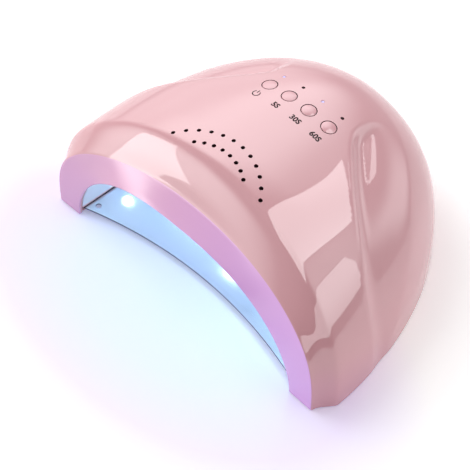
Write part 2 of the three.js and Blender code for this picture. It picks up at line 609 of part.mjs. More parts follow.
// Flat ribbon cable from the driver board over the back of the reflector.
function makeRibbon() {
  const path = new THREE.CatmullRomCurve3(RIBBON.route.map(([y, z]) => new THREE.Vector3(RIBBON.x, y, z)));
  const sheet = (offset) => evenSteps(RIBBON.steps, 0, 1).map((t) => {
    const along = path.getTangent(t);
    const across = new THREE.Vector3(0, -along.z, along.y).multiplyScalar(offset);
    return [-0.5, 0.5].map((side) => path.getPoint(t).add(across).add(new THREE.Vector3(side * RIBBON.width, 0, 0)));
  });
  return sheetSolid(sheet(RIBBON.thickness / 2), sheet(-RIBBON.thickness / 2));
}

// ---- assembly --------------------------------------------------------------------------

const allBeads = [...ARCH_STRIPS.flatMap(archBeads), ...sideBeads(-1), ...sideBeads(1)];

addPart('upper_shell', makeHood(), LOOK.gloss);
addPart('reflector_liner', makeLiner(allBeads), LOOK.reflector);
ARCH_STRIPS.forEach((strip) => addPart(strip.name, makeArchStrip(strip), LOOK.strip));
addPart('led_strip_left', makeSideStrip(-1), LOOK.strip);
addPart('led_strip_right', makeSideStrip(1), LOOK.strip);
addPart('hand_sensor', makeSensor(), LOOK.black);

addPart('bottom_cover', makeCover(), LOOK.base);
addPart('base_tray', makeTray(), LOOK.mirror);
FOOT_SPOTS.forEach(([x, y], i) => {
  addPart(`rubber_foot_${i + 1}`, rod(x, y, -FOOT.standOff, FOOT.recess - GAP, FOOT.radius, 16), LOOK.rubber);
});
COVER_SCREW_SPOTS.forEach(([x, y], i) => {
  addPart(`cover_screw_${i + 1}`, makeScrew(x, y, GAP, 1, COVER_SCREW), LOOK.steel);
});

const BUTTON_NAMES = ['power', 'timer_5', 'timer_30', 'timer_60'];
panelX(BUTTON.pitch).forEach((x, i) => {
  addPart(`button_${BUTTON_NAMES[i]}`, makeButton(x), LOOK.gloss);
  addPart(`switch_plunger_${i + 1}`, makePlunger(x), LOOK.black);
  addPart(`tact_switch_${i + 1}`, makeSwitch(x), LOOK.black);
});
panelX(LAMP_HOLE.pitch).forEach((x, i) => {
  const top = hoodTop(x, LAMP_HOLE.y) - LAMP_HOLE.sunk;
  addPart(`indicator_light_${i + 1}`, rod(x, LAMP_HOLE.y, boardTop + GAP, top, LAMP_HOLE.pipe, 10), LOOK.lens);
});
addPart('control_board', makeControlBoard(), LOOK.board);
addPart('timer_chip', block(-4.5, 4.5, 76.5, 81.5, boardTop + GAP, boardTop + 1.8), LOOK.black);
CONTROL_SCREW_SPOTS.forEach(([x, y], i) => {
  const headZ = CONTROL.bottomZ - GAP - SMALL_SCREW.headHeight;
  addPart(`control_screw_${i + 1}`, makeScrew(x, y, headZ, 1, SMALL_SCREW), LOOK.steel);
});

addPart('driver_board', makeDriverBoard(), LOOK.board);
addPart('dc_jack', makeJack(), LOOK.black);
addPart('driver_inductor', makeRing(-10, 134.5, driverTop + GAP, driverTop + 6, 4.4, 1.8), LOOK.black);
addPart('driver_capacitor', rod(8, 134.5, driverTop + GAP, driverTop + 13, 3.1, 14), LOOK.sleeve);
addPart('driver_transistor', block(-2.5, 2.5, 131, 135, driverTop + GAP, driverTop + 9), LOOK.black);
DRIVER_SCREW_SPOTS.forEach(([x, y], i) => {
  const headZ = driverTop + GAP + SMALL_SCREW.headHeight;
  addPart(`driver_screw_${i + 1}`, makeScrew(x, y, headZ, -1, SMALL_SCREW), LOOK.steel);
});
addPart('ribbon_cable', makeRibbon(), LOOK.black);

// The origin is the bottom centre of the lamp's box, on the surface that the feet stand on.
lamp.position.set(0, -BODY.rearY / 2, FOOT.standOff);
const group = new THREE.Group();
group.add(lamp);

export default group;
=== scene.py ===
# Looks of the nail lamp: fine meshes for the pieces that show, node materials, camera and studio.
# Shapes are laid out in millimetres, and placed() turns them into the frame's metres. The frame's
# origin is the bottom centre, and the mouth faces -Y.
import math
import bmesh
import bpy
from mathutils import Matrix, Vector


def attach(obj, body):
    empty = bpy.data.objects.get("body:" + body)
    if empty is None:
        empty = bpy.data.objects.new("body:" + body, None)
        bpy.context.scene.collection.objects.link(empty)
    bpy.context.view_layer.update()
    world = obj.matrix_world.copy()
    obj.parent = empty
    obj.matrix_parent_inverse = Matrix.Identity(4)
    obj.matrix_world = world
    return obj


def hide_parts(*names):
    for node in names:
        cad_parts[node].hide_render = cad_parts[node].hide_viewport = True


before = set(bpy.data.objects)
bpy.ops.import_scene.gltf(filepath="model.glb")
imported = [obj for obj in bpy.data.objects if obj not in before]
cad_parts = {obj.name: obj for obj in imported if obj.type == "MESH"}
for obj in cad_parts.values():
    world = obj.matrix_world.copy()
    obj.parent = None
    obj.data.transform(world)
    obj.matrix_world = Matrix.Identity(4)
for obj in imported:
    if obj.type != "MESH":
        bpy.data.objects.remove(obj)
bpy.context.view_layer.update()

MM = 0.001
HALF_PI = math.pi / 2

# ---- the hood's shape, as the CAD model has it (mm, Y from the front feet, Z from the rim) ----
BODY_HALF_WIDTH = 104.9
BODY_WIDEST_Y = 12.6
BODY_WIDTH_POWER = 1.83
BODY_WIDTH_ROOT = 2.25
BODY_HEIGHT = 87.3
BODY_CREST_Y = 43.6
BODY_HEIGHT_POWER = 4.36
BODY_HEIGHT_ROOT = 2.1
BODY_FRONT_FALL = 0.004
BODY_FRONT_POWER = 1.7
BODY_REAR_Y = 157.4
BODY_N = 1.83
BODY_M = 2.92
BAND_HALF_WIDTH = 98.0
BAND_HEIGHT = 66.1
BAND_N = 2.03
BAND_M = 3.28
BAND_SETBACK = 11.7
MOUTH_HALF_WIDTH = 81.8
MOUTH_HEIGHT = 58.2
MOUTH_N = 2.52
MOUTH_M = 1.87
MOUTH_Y = 0.3
WALL = 2.4
ROLL_LENGTH = 12.0
ROLL_CROWN_EXTRA = 5.0
ROLL_POWER = 1.2
ROLL_CROWN_POWER = 0.5
RIM_LIFT = 0.6

SCOOP_DEPTH = 4.0
SCOOP_TOP_ANGLE = 22.6
SCOOP_ANGLE_SPAN = 79.5
SCOOP_LENGTH = 55.0
SCOOP_END_POWER = 0.6
SCOOP_RIM_Y = 40.0
SCOOP_RIM_CURVE = 0.0195
SCOOP_RIM_ANGLE = 76.0
SCOOP_WALL_LENGTH = 12.0
SCOOP_END_WALL_ANGLE = 5.0
SCOOP_RISE_POWER = 1.5
SCOOP_FADE_OUT = 60.0
SCOOP_FOOT_SHARE = 0.25
SHOULDER_RISE = 2.5
SHOULDER_ANGLE = 50.0
SHOULDER_ANGLE_REACH = 30.0
SHOULDER_Y = 66.0
SHOULDER_Y_REACH = 50.0

BUTTON_PITCH = 14.2
BUTTON_Y = 86.3
CAP_RADIUS = 4.0
CAP_HOLE_RADIUS = 4.42
BUTTON_COLLAR = 5.6
LAMP_PITCH = 14.0
LAMP_Y = 96.6
LAMP_RADIUS = 1.0
VENT_ARCS = ((12, 40.1, 0.1658), (8, 31.8, 0.1698))
VENT_CENTRE_Y = 3.3
VENT_RADIUS = 1.15

CAVITY_HALF_WIDTH = 82.4
CAVITY_TAPER_Y = 60.0
CAVITY_END_Y = 125.0
CAVITY_POWER = 2.2
CAVITY_FALL_POWER = 2.5
CAVITY_HEIGHT = 60.0
CAVITY_FRONT_HEIGHT = 58.8
CAVITY_FALL_Y = 50.0
LINER_WALL = 1.6
LINER_FOOT_Z = 3.7
LINER_FRONT_Y = 3.3
LINER_SETBACK = 8.0
ARCH_STRIPS = (("led_strip_front", 43.0, 2, 15.0), ("led_strip_middle", 54.0, 7, 60.0),
               ("led_strip_rear", 88.0, 8, 60.0))
STRIP_END_ANGLE = 5.0
SIDE_STRIPS = (("led_strip_left", -1), ("led_strip_right", 1))
SIDE_STRIP_ANGLE = 73.0
SIDE_STRIP_HALF_ANGLE = 3.6
SIDE_STRIP_Y = (22.0, 78.0)
SIDE_BEAD_Y = (28.0, 50.0, 72.0)
SENSOR_Y = 28.0
JACK_Z = 12.6


# ---- shape functions ---------------------------------------------------------------------------

NEAR_ZERO = 1e-6
FOOT_ANGLE = HALF_PI - NEAR_ZERO
NORMAL_ANGLE = HALF_PI - 0.002
NORMAL_STEP = 0.001
HOOD_STEP = 0.05
HOOD_START = 0.02
# a point under the crest, from which the hood's outer side faces away
HOOD_MIDDLE = Vector((0, BODY_CREST_Y, -20))


def clamp01(t):
    return min(1.0, max(0.0, t))


def side_of(angle, n):
    return math.copysign(abs(math.sin(angle)) ** (2 / n), math.sin(angle))


def rise_of(angle, m):
    return abs(math.cos(angle)) ** (2 / m)


def steps(count, first, last):
    return [first + (last - first) * i / (count - 1) for i in range(count)]


def placed(p):
    """Point given in the layout's millimetres, in the frame's metres."""
    return Vector((p[0], p[1] - BODY_REAR_Y / 2, p[2] + RIM_LIFT)) * MM


def body_half_width(y):
    back = clamp01((y - BODY_WIDEST_Y) / (BODY_REAR_Y - BODY_WIDEST_Y))
    front = clamp01((BODY_WIDEST_Y - y) / BODY_WIDEST_Y)
    rear = BODY_HALF_WIDTH * (1 - back ** BODY_WIDTH_POWER) ** (1 / BODY_WIDTH_ROOT)
    return rear - (BODY_HALF_WIDTH - BAND_HALF_WIDTH) * front ** BODY_FRONT_POWER


def body_height(y):
    back = clamp01((y - BODY_CREST_Y) / (BODY_REAR_Y - BODY_CREST_Y))
    front = max(0.0, BODY_CREST_Y - y)
    rear = BODY_HEIGHT * (1 - back ** BODY_HEIGHT_POWER) ** (1 / BODY_HEIGHT_ROOT)
    return rear - BODY_FRONT_FALL * front ** 2


def front_edge_y(angle):
    return BAND_SETBACK * math.cos(angle) ** 2


def hood_top(x, y):
    """Height of the hood behind the front roll, between the scoops."""
    return body_height(y) * (1 - (abs(x) / body_half_width(y)) ** BODY_N) ** (1 / BODY_M)


def arch_point(angle, half_width, height, y, n, m):
    """Point of a superellipse arch that stands across the layout at y."""
    return Vector((half_width * side_of(angle, n), y, height * rise_of(angle, m)))


def kept_off_foot(angle):
    """The angle, held just short of the feet, where a surface has no normal."""
    return min(max(angle, -NORMAL_ANGLE), NORMAL_ANGLE)


def plain_hood(angle, behind):
    """Hood without its shoulders and scoops: the band's edge, rolled over into the body."""
    y = front_edge_y(angle) + behind
    crown = math.cos(angle) ** 2
    length = ROLL_LENGTH + ROLL_CROWN_EXTRA * crown
    power = ROLL_POWER + ROLL_CROWN_POWER * crown
    blend = 1 - (1 - clamp01(behind / length)) ** power
    front = arch_point(angle, BAND_HALF_WIDTH, BAND_HEIGHT, y, BAND_N, BAND_M)
    body = arch_point(angle, body_half_width(y), body_height(y), y, BODY_N, BODY_M)
    return front.lerp(body, blend)


def surface_normal(surface, u, v, step_u, step_v, outward):
    """Unit normal of a surface of two parameters, on the side that outward points to."""
    along_u = surface(u + step_u, v) - surface(u - step_u, v)
    along_v = surface(u, v + step_v) - surface(u, v - step_v)
    normal = along_u.cross(along_v).normalized()
    return normal if normal.dot(outward) > 0 else -normal


def rounded(t):
    return clamp01(t) * (2 - clamp01(t))


def swell(t):
    return math.cos(HALF_PI * clamp01(abs(t))) ** 2


def scoop_depth(tilt, y):
    """Depth of the grip scoop: steep behind its rim and upper end, then a long rise."""
    if tilt <= SCOOP_TOP_ANGLE:
        return 0.0
    rim = SCOOP_RIM_Y + SCOOP_RIM_CURVE * max(0.0, SCOOP_RIM_ANGLE - tilt) ** 2
    around = ((tilt - SCOOP_TOP_ANGLE) / SCOOP_ANGLE_SPAN) ** SCOOP_END_POWER
    length = SCOOP_LENGTH * math.sin(math.pi * around)
    behind = y - rim
    if behind <= 0 or behind >= length:
        return 0.0
    walls = rounded(behind / SCOOP_WALL_LENGTH) * rounded((tilt - SCOOP_TOP_ANGLE) / SCOOP_END_WALL_ANGLE)
    rise = (1 - (behind / length) ** 2) ** SCOOP_RISE_POWER
    low = clamp01((tilt - SCOOP_FADE_OUT) / (90 - SCOOP_FADE_OUT))
    return SCOOP_DEPTH * walls * rise * (1 - (1 - SCOOP_FOOT_SHARE) * low)


def sculpting(angle, y):
    """How far the shoulders and scoops move the hood inward."""
    tilt = math.degrees(abs(angle))
    around = swell((tilt - SHOULDER_ANGLE) / SHOULDER_ANGLE_REACH)
    along = swell((y - SHOULDER_Y) / SHOULDER_Y_REACH)
    return scoop_depth(tilt, y) - SHOULDER_RISE * around * along


def hood_point(angle, behind, inward):
    """Point of the hood at a distance behind its front edge, moved inward from the outer surface."""
    length = BODY_REAR_Y - front_edge_y(angle)
    if behind >= length - NEAR_ZERO:
        return Vector((0, BODY_REAR_Y - inward, 0))
    point = plain_hood(angle, behind)
    reach = min(HOOD_STEP, (length - behind) / 2, (behind + HOOD_START) / 2)
    at = max(behind, HOOD_START)
    normal = surface_normal(plain_hood, kept_off_foot(angle), at, NORMAL_STEP, reach, point - HOOD_MIDDLE)
    point -= normal * (inward + sculpting(angle, point.y))
    if abs(angle) > FOOT_ANGLE:
        point.z = 0
    return point


# ---- mesh helpers ----------------------------------------------------------------------------

MERGE_DISTANCE = 2e-6
SLIVER_LENGTH = 1e-7
SMOOTH_ANGLE = 35


def finish_mesh(name, bm, smooth_angle=SMOOTH_ANGLE):
    """Turns the bmesh into an object of the scene, shaded smooth up to the given angle."""
    bmesh.ops.remove_doubles(bm, verts=bm.verts, dist=MERGE_DISTANCE)
    bmesh.ops.dissolve_degenerate(bm, edges=bm.edges, dist=SLIVER_LENGTH)
    bmesh.ops.recalc_face_normals(bm, faces=bm.faces)
    mesh = bpy.data.meshes.new(name)
    bm.to_mesh(mesh)
    bm.free()
    piece = bpy.data.objects.new(name, mesh)
    bpy.context.scene.collection.objects.link(piece)
    shade(piece, smooth_angle)
    return piece


def shade(piece, smooth_angle):
    piece.data.shade_smooth()
    piece.data.set_sharp_from_angle(angle=math.radians(smooth_angle))


def sheet_mesh(name, outer, inner, band_rows=0):
    """Closed shell between two sheets of layout points with the same rows and columns.

    The first band_rows of the outer sheet get the piece's second look.
    """
    bm = bmesh.new()
    out = [[bm.verts.new(placed(p)) for p in row] for row in outer]
    into = [[bm.verts.new(placed(p)) for p in row] for row in inner]
    rows = len(out)
    columns = len(out[0])
    for r in range(rows - 1):
        for c in range(columns - 1):
            face = bm.faces.new((out[r][c], out[r][c + 1], out[r + 1][c + 1], out[r + 1][c]))
            face.material_index = 1 if r < band_rows else 0
            bm.faces.new((into[r][c], into[r + 1][c], into[r + 1][c + 1], into[r][c + 1]))
        bm.faces.new((out[r][0], out[r + 1][0], into[r + 1][0], into[r][0]))
        bm.faces.new((out[r][-1], into[r][-1], into[r + 1][-1], out[r + 1][-1]))
    for c in range(columns - 1):
        bm.faces.new((out[0][c], into[0][c], into[0][c + 1], out[0][c + 1]))
        bm.faces.new((out[-1][c], out[-1][c + 1], into[-1][c + 1], into[-1][c]))
    return finish_mesh(name, bm)


def ring_stack(bm, centre, rings, sides, turn=None):
    """Surface of revolution about +Z at centre; rings are (radius, height) or (radius, function)."""
    turn = turn or Matrix.Identity(3)
    loops = []
    for radius, height in rings:
        loop = []
        for k in range(sides):
            angle = 2 * math.pi * k / sides
            x = radius * math.cos(angle)
            y = radius * math.sin(angle)
            z = height(x, y) if callable(height) else height
            loop.append(bm.verts.new(placed(Vector(centre) + turn @ Vector((x, y, z)))))
        loops.append(loop)
    for low, high in zip(loops, loops[1:]):
        for k in range(sides):
            bm.faces.new((low[k], low[(k + 1) % sides], high[(k + 1) % sides], high[k]))
    bm.faces.new(list(reversed(loops[0])))
    bm.faces.new(loops[-1])


def cutter_piece(name, rods):
    """One temporary object holding all the rods, each (base point, direction, radius, length, sides)."""
    bm = bmesh.new()
    for base, direction, radius, length, sides in rods:
        turn = Vector((0, 0, 1)).rotation_difference(Vector(direction)).to_matrix()
        ring_stack(bm, base, [(radius, 0.0), (radius, length)], sides, turn)
    return finish_mesh(name, bm)


def cut_away(piece, cutter, smooth_angle=SMOOTH_ANGLE):
    """Takes the cutter's volume out of the piece and deletes the cutter."""
    boolean = piece.modifiers.new("holes", "BOOLEAN")
    boolean.operation = "DIFFERENCE"
    boolean.solver = "EXACT"
    boolean.object = cutter
    apply_modifiers(piece)
    bpy.data.objects.remove(cutter)
    shade(piece, smooth_angle)


def apply_modifiers(piece):
    """Makes what the piece's modifiers show its own mesh."""
    graph = bpy.context.evaluated_depsgraph_get()
    solved = bpy.data.meshes.new_from_object(piece.evaluated_get(graph))
    piece.modifiers.clear()
    piece.data = solved


def extruded(name, outline, low, high):
    """Upright prism over a closed outline of layout points, between two heights."""
    bm = bmesh.new()
    face = bm.faces.new([bm.verts.new(placed((x, y, low))) for x, y in outline])
    raised = bmesh.ops.extrude_face_region(bm, geom=[face])
    lifted = [v for v in raised["geom"] if isinstance(v, bmesh.types.BMVert)]
    bmesh.ops.translate(bm, verts=lifted, vec=Vector((0, 0, (high - low) * MM)))
    return finish_mesh(name, bm)


def stand_in(piece, body, slot, *nodes):
    """Lets the piece move with the body in place of the CAD nodes."""
    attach(piece, body)
    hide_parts(*nodes)


# ---- materials -------------------------------------------------------------------------------

PINK = (0.71, 0.355, 0.39)
POLISHED_HAZE = 0.03
RIM_HAZE = 0.22
# painted glow: emission on the rim's plastic stands in for the violet light of the LEDs falling on it
RIM_PAINTED_GLOW = (0.20, 0.15, 1.0)
RIM_PAINTED_GLOW_STRENGTHS = (0.20, 0.40)
# metres along X between which the painted glow on the rim grows
RIM_PAINTED_GLOW_REACH = (-0.03, 0.07)
# heights in metres between which the painted shade on the bottom cover sets in, and fades away again
SHADE_START = (0.0018, 0.0022)
SHADE_END = (0.0030, 0.0033)


class Look:
    """Small builder for a Principled material driven by procedural noise."""

    def __init__(self, name, color, roughness, metallic=0.0):
        self.material = bpy.data.materials.new(name)
        self.material.use_nodes = True
        self.tree = self.material.node_tree
        self.shader = self.tree.nodes["Principled BSDF"]
        self.shader.inputs["Base Color"].default_value = (*color, 1)
        self.shader.inputs["Roughness"].default_value = roughness
        self.shader.inputs["Metallic"].default_value = metallic
        self.place = self.tree.nodes.new("ShaderNodeTexCoord").outputs["Object"]
        self.color = color

    def noise(self, scale, detail, stretch=None):
        """Noise value over the surface, with the given number of features per metre."""
        texture = self.tree.nodes.new("ShaderNodeTexNoise")
        texture.inputs["Scale"].default_value = scale
        texture.inputs["Detail"].default_value = detail
        place = self.place
        if stretch:
            mapping = self.tree.nodes.new("ShaderNodeMapping")
            mapping.inputs["Scale"].default_value = stretch
            self.tree.links.new(place, mapping.inputs["Vector"])
            place = mapping.outputs["Vector"]
        self.tree.links.new(place, texture.inputs["Vector"])
        return texture.outputs["Fac"]

    def ramp(self, factor, low, high, start=0.3, end=0.7):
        """Value that goes from low to high while the factor goes from start to end."""
        ramp = self.tree.nodes.new("ShaderNodeMapRange")
        ramp.inputs["From Min"].default_value = start
        ramp.inputs["From Max"].default_value = end
        ramp.inputs["To Min"].default_value = low
        ramp.inputs["To Max"].default_value = high
        self.tree.links.new(factor, ramp.inputs["Value"])
        return ramp.outputs["Result"]

    def vary_color(self, factor, shade_low, shade_high):
        """Multiplies the look's colour by a shade between the two."""
        mix = self.tree.nodes.new("ShaderNodeMix")
        mix.data_type = "RGBA"
        mix.inputs["A"].default_value = (*[c * shade_low for c in self.color], 1)
        mix.inputs["B"].default_value = (*[min(1.0, c * shade_high) for c in self.color], 1)
        self.tree.links.new(factor, mix.inputs["Factor"])
        self.tree.links.new(mix.outputs["Result"], self.shader.inputs["Base Color"])

    def vary_roughness(self, factor, low, high):
        self.tree.links.new(self.ramp(factor, low, high), self.shader.inputs["Roughness"])

    def bump(self, factor, depth, strength):
        """Raises the surface by up to the depth in metres."""
        bump = self.tree.nodes.new("ShaderNodeBump")
        bump.inputs["Distance"].default_value = depth
        bump.inputs["Strength"].default_value = strength
        self.tree.links.new(factor, bump.inputs["Height"])
        self.tree.links.new(bump.outputs["Normal"], self.shader.inputs["Normal"])

    def set(self, **values):
        """Sets shader inputs by their names, with underscores for spaces."""
        for name, value in values.items():
            self.shader.inputs[name.replace("_", " ")].default_value = value


def polished(name, color, haze):
    """Polished moulded plastic with faint flow marks; haze is the roughness of its clear skin."""
    look = Look(name, color, 0.05)
    look.vary_color(look.noise(9, 3), 0.985, 1.015)
    look.vary_roughness(look.noise(60, 6), 0.03, 0.07)
    look.bump(look.noise(35, 2), 0.00002, 0.2)
    look.set(Specular_IOR_Level=0.0, Coat_Weight=1.0, Coat_IOR=1.8, Coat_Roughness=haze)
    return look


def gloss_look(name, color):
    return polished(name, color, POLISHED_HAZE).material


def rim_painted_glow_look():
    """Plastic round the mouth, with the violet light of the LEDs painted on as emission, stronger to the
    right.
    """
    look = polished("rim_gloss_painted_glow", PINK, RIM_HAZE)
    across = look.tree.nodes.new("ShaderNodeSeparateXYZ")
    look.tree.links.new(look.place, across.inputs["Vector"])
    strength = look.ramp(across.outputs["X"], *RIM_PAINTED_GLOW_STRENGTHS, *RIM_PAINTED_GLOW_REACH)
    look.tree.links.new(strength, look.shader.inputs["Emission Strength"])
    look.set(Emission_Color=(*RIM_PAINTED_GLOW, 1))
    return look.material


def reflector_look():
    """Bright satin plastic of the reflector."""
    look = Look("satin_reflector", (0.86, 0.88, 0.92), 0.25, 0.25)
    look.vary_color(look.noise(25, 4), 0.99, 1.01)
    look.vary_roughness(look.noise(40, 3), 0.30, 0.36)
    look.bump(look.noise(900, 2), 0.00001, 0.2)
    return look.material


def mirror_look():
    """Rolled stainless sheet with a faint grain from side to side and small handling marks."""
    look = Look("mirror_steel", (0.76, 0.86, 0.94), 0.07, 1.0)
    look.vary_color(look.noise(40, 5), 0.98, 1.01)
    look.vary_roughness(look.noise(300, 3, (0.06, 1.0, 1.0)), 0.15, 0.22)
    look.bump(look.noise(1400, 2, (0.03, 1.0, 1.0)), 0.000002, 0.2)
    return look.material


def moulded_look(name, color, roughness, grain):
    """Plastic, rubber or coated part with a fine moulded grain."""
    look = Look(name, color, roughness)
    look.vary_color(look.noise(30, 4), 0.93, 1.05)
    look.vary_roughness(look.noise(90, 4), roughness - 0.06, roughness + 0.1)
    look.bump(look.noise(grain, 3), 0.00006, 0.5)
    return look.material


def metal_look(name, color, roughness, grain):
    """Plain metal with a brushed or plated grain."""
    look = Look(name, color, roughness, 1.0)
    look.vary_color(look.noise(150, 4), 0.9, 1.05)
    look.vary_roughness(look.noise(500, 4), roughness - 0.08, roughness + 0.12)
    look.bump(look.noise(grain, 3), 0.00003, 0.4)
    return look.material


def glow_look(name, color, glow, strength):
    """Clear moulding with light coming out of it."""
    look = Look(name, color, 0.12)
    look.vary_color(look.noise(200, 2), 0.95, 1.05)
    look.vary_roughness(look.noise(300, 2), 0.08, 0.18)
    look.set(Emission_Color=(*glow, 1), Emission_Strength=strength)
    return look.material


def dull_look(name, color):
    """Ink, an unlit lamp, or painted deep shade, which shows no reflection."""
    look = Look(name, color, 0.8)
    look.vary_color(look.noise(30, 4), 0.9, 1.1)
    look.vary_roughness(look.noise(90, 4), 0.7, 0.9)
    look.set(Specular_IOR_Level=0.1)
    return look.material


def base_look():
    """Moulded pink cover; the foot of its opening, level with the tray, has painted deep shade."""
    look = Look("pink_base", (0.76, 0.45, 0.48), 0.42)
    height = look.tree.nodes.new("ShaderNodeSeparateXYZ")
    look.tree.links.new(look.place, height.inputs["Vector"])
    band = look.tree.nodes.new("ShaderNodeMath")
    band.operation = "MULTIPLY"
    look.tree.links.new(look.ramp(height.outputs["Z"], 0.0, 1.0, *SHADE_START), band.inputs[0])
    look.tree.links.new(look.ramp(height.outputs["Z"], 1.0, 0.0, *SHADE_END), band.inputs[1])
    # painted shade: the band level with the tray is darkened to 3 per cent of the pink
    look.vary_color(band.outputs["Value"], 1.0, 0.03)
    look.vary_roughness(look.noise(90, 4), 0.36, 0.52)
    look.bump(look.noise(1500, 3), 0.00006, 0.5)
    return look.material


def board_look():
    """Green solder mask with a faint weave of the board underneath."""
    look = Look("solder_mask", (0.03, 0.20, 0.10), 0.35)
    look.vary_color(look.noise(220, 4), 0.7, 1.25)
    look.vary_roughness(look.noise(400, 3), 0.25, 0.45)
    look.bump(look.noise(2600, 2, (1.0, 0.3, 1.0)), 0.00003, 0.4)
    return look.material


# colours are linear, red green blue
LOOKS = {
    "shell": gloss_look("pink_gloss", PINK),
    "rim": rim_painted_glow_look(),
    "button": gloss_look("button_gloss", (0.72, 0.345, 0.385)),
    "reflector": reflector_look(),
    "mirror": mirror_look(),
    "base": base_look(),
    "rubber": moulded_look("foot_rubber", (0.028, 0.028, 0.03), 0.72, 2600),
    "black": moulded_look("black_plastic", (0.02, 0.02, 0.022), 0.4, 1900),
    # painted shade: dark colour for the walls of the hood's holes
    "hole": dull_look("hole_shade", (0.05, 0.014, 0.018)),
    "sensor": gloss_look("sensor_window", (0.60, 0.64, 0.74)),
    "sheet_edge": metal_look("sheet_edge", (0.10, 0.11, 0.14), 0.4, 1500),
    "steel": metal_look("zinc_steel", (0.60, 0.61, 0.63), 0.3, 1200),
    "board": board_look(),
    "flex": moulded_look("white_solder_mask", (0.85, 0.85, 0.83), 0.45, 2200),
    "cable": moulded_look("flat_cable", (0.33, 0.33, 0.35), 0.5, 1100),
    "sleeve": moulded_look("capacitor_sleeve", (0.035, 0.055, 0.20), 0.3, 900),
    "ferrite": moulded_look("ferrite", (0.045, 0.045, 0.05), 0.65, 3000),
    "ink": dull_look("printed_ink", (0.03, 0.018, 0.02)),
    "bead": glow_look("led_bead", (0.9, 0.93, 1.0), (0.62, 0.74, 1.0), 9.0),
    "lamp_on": glow_look("indicator_on", (0.62, 0.55, 0.80), (0.50, 0.48, 1.0), 0.30),
    "lamp_off": dull_look("indicator_off", (0.03, 0.012, 0.014)),
}


def wear(piece, *looks):
    """Gives the piece its looks in order; a mesh without any keeps the look numbers of its faces."""
    if piece.data.materials:
        piece.data.materials.clear()
    for look in looks:
        piece.data.materials.append(LOOKS[look])


# ---- hood ------------------------------------------------------------------------------------

COLUMNS = 145
TAIL_ROWS = 96
BAND_ROWS = 9
EDGE_ROUND = 1.1
INNER_EDGE_START = 4.5
INNER_EDGE_EXTRA = 0.3
FRONT_LENGTH = 19.0
FRONT_ROWS = 14
MOUTH_ROUND = 0.7
JACK_HOLE_RADIUS = 4.75
JACK_HOLE_Y = 140
HOLE_WALL_PLAY = 0.02
HOLE_WALL_TILT = 0.2


def curve_through(before, corner, after, count):
    """Rounded corner: points of a quadratic curve from before to after."""
    points = []
    for t in steps(count, 0.0, 1.0):
        points.append(before.lerp(corner, t).lerp(corner.lerp(after, t), t))
    return points


def hood_column(angle, inward):
    """Points of one column of the hood, from the mouth's edge back to the rear foot."""
    start = INNER_EDGE_START if inward else EDGE_ROUND
    edge_y = front_edge_y(angle) + inward + (INNER_EDGE_EXTRA if inward else 0)
    mouth = arch_point(angle, MOUTH_HALF_WIDTH, MOUTH_HEIGHT, MOUTH_Y + inward, MOUTH_N, MOUTH_M)
    edge = arch_point(angle, BAND_HALF_WIDTH - inward, BAND_HEIGHT - inward, edge_y, BAND_N, BAND_M)
    into_band = (edge - mouth).normalized()
    lip = mouth + Vector((0, MOUTH_ROUND, 0)) * (-1 if inward else 1)
    column = curve_through(lip, mouth, mouth + into_band * MOUTH_ROUND, 4)
    first = hood_point(angle, start, inward)
    column += [mouth.lerp(edge, t) for t in (0.25, 0.5, 0.75)]
    column += curve_through(edge - into_band * EDGE_ROUND, edge, first, 6)
    column += [hood_point(angle, u, inward) for u in steps(FRONT_ROWS, start, FRONT_LENGTH)[1:]]
    length = BODY_REAR_Y - front_edge_y(angle) - FRONT_LENGTH
    for i in range(1, TAIL_ROWS + 1):
        column.append(hood_point(angle, FRONT_LENGTH + length * math.sin(HALF_PI * i / TAIL_ROWS), inward))
    if abs(angle) > FOOT_ANGLE:
        for point in column:
            point.z = 0
    return column


def panel_x(pitch):
    return [step * pitch for step in (-1.5, -0.5, 0.5, 1.5)]


def vent_spots():
    spots = []
    for count, radius, pitch in VENT_ARCS:
        for i in range(count):
            turn = (i - (count - 1) / 2) * pitch
            spots.append((radius * math.sin(turn), VENT_CENTRE_Y + radius * math.cos(turn)))
    return spots


def paint_shade_in_holes(hood):
    """Puts the painted shade on the walls of the vents, the button holes and the holes of the unlit lamps.
    """
    holes = [(x, BUTTON_Y, CAP_HOLE_RADIUS) for x in panel_x(BUTTON_PITCH)]
    holes += [(x, LAMP_Y, LAMP_RADIUS) for x in panel_x(LAMP_PITCH)[1::2]]
    holes += [(x, y, VENT_RADIUS) for x, y in vent_spots()]
    upright = [face for face in hood.data.polygons if abs(face.normal.z) < HOLE_WALL_TILT]
    for face in upright:
        at_x = face.center.x / MM
        at_y = face.center.y / MM + BODY_REAR_Y / 2
        for x, y, radius in holes:
            if math.hypot(at_x - x, at_y - y) < radius + HOLE_WALL_PLAY:
                face.material_index = 2


def make_hood():
    angles = steps(COLUMNS, -HALF_PI, HALF_PI)
    outer = list(zip(*[hood_column(a, 0.0) for a in angles]))
    inner = list(zip(*[hood_column(a, WALL) for a in angles]))
    hood = sheet_mesh("hood", outer, inner, BAND_ROWS)
    # the band rows of the outer sheet carry the rim's painted glow
    wear(hood, "shell", "rim", "hole")
    up = (0, 0, 1)
    rods = [((x, BUTTON_Y, 60), up, CAP_HOLE_RADIUS, 40, 48) for x in panel_x(BUTTON_PITCH)]
    rods += [((x, LAMP_Y, 60), up, LAMP_RADIUS, 40, 20) for x in panel_x(LAMP_PITCH)]
    rods += [((x, y, 70), up, VENT_RADIUS, 30, 20) for x, y in vent_spots()]
    rods.append(((0, JACK_HOLE_Y, JACK_Z), (0, 1, 0), JACK_HOLE_RADIUS, 30, 48))
    cut_away(hood, cutter_piece("hood_holes", rods))
    # the hole walls get the painted shade
    paint_shade_in_holes(hood)
    stand_in(hood, "housing", "shell_gloss", "upper_shell")


make_hood()


# ---- control panel ---------------------------------------------------------------------------

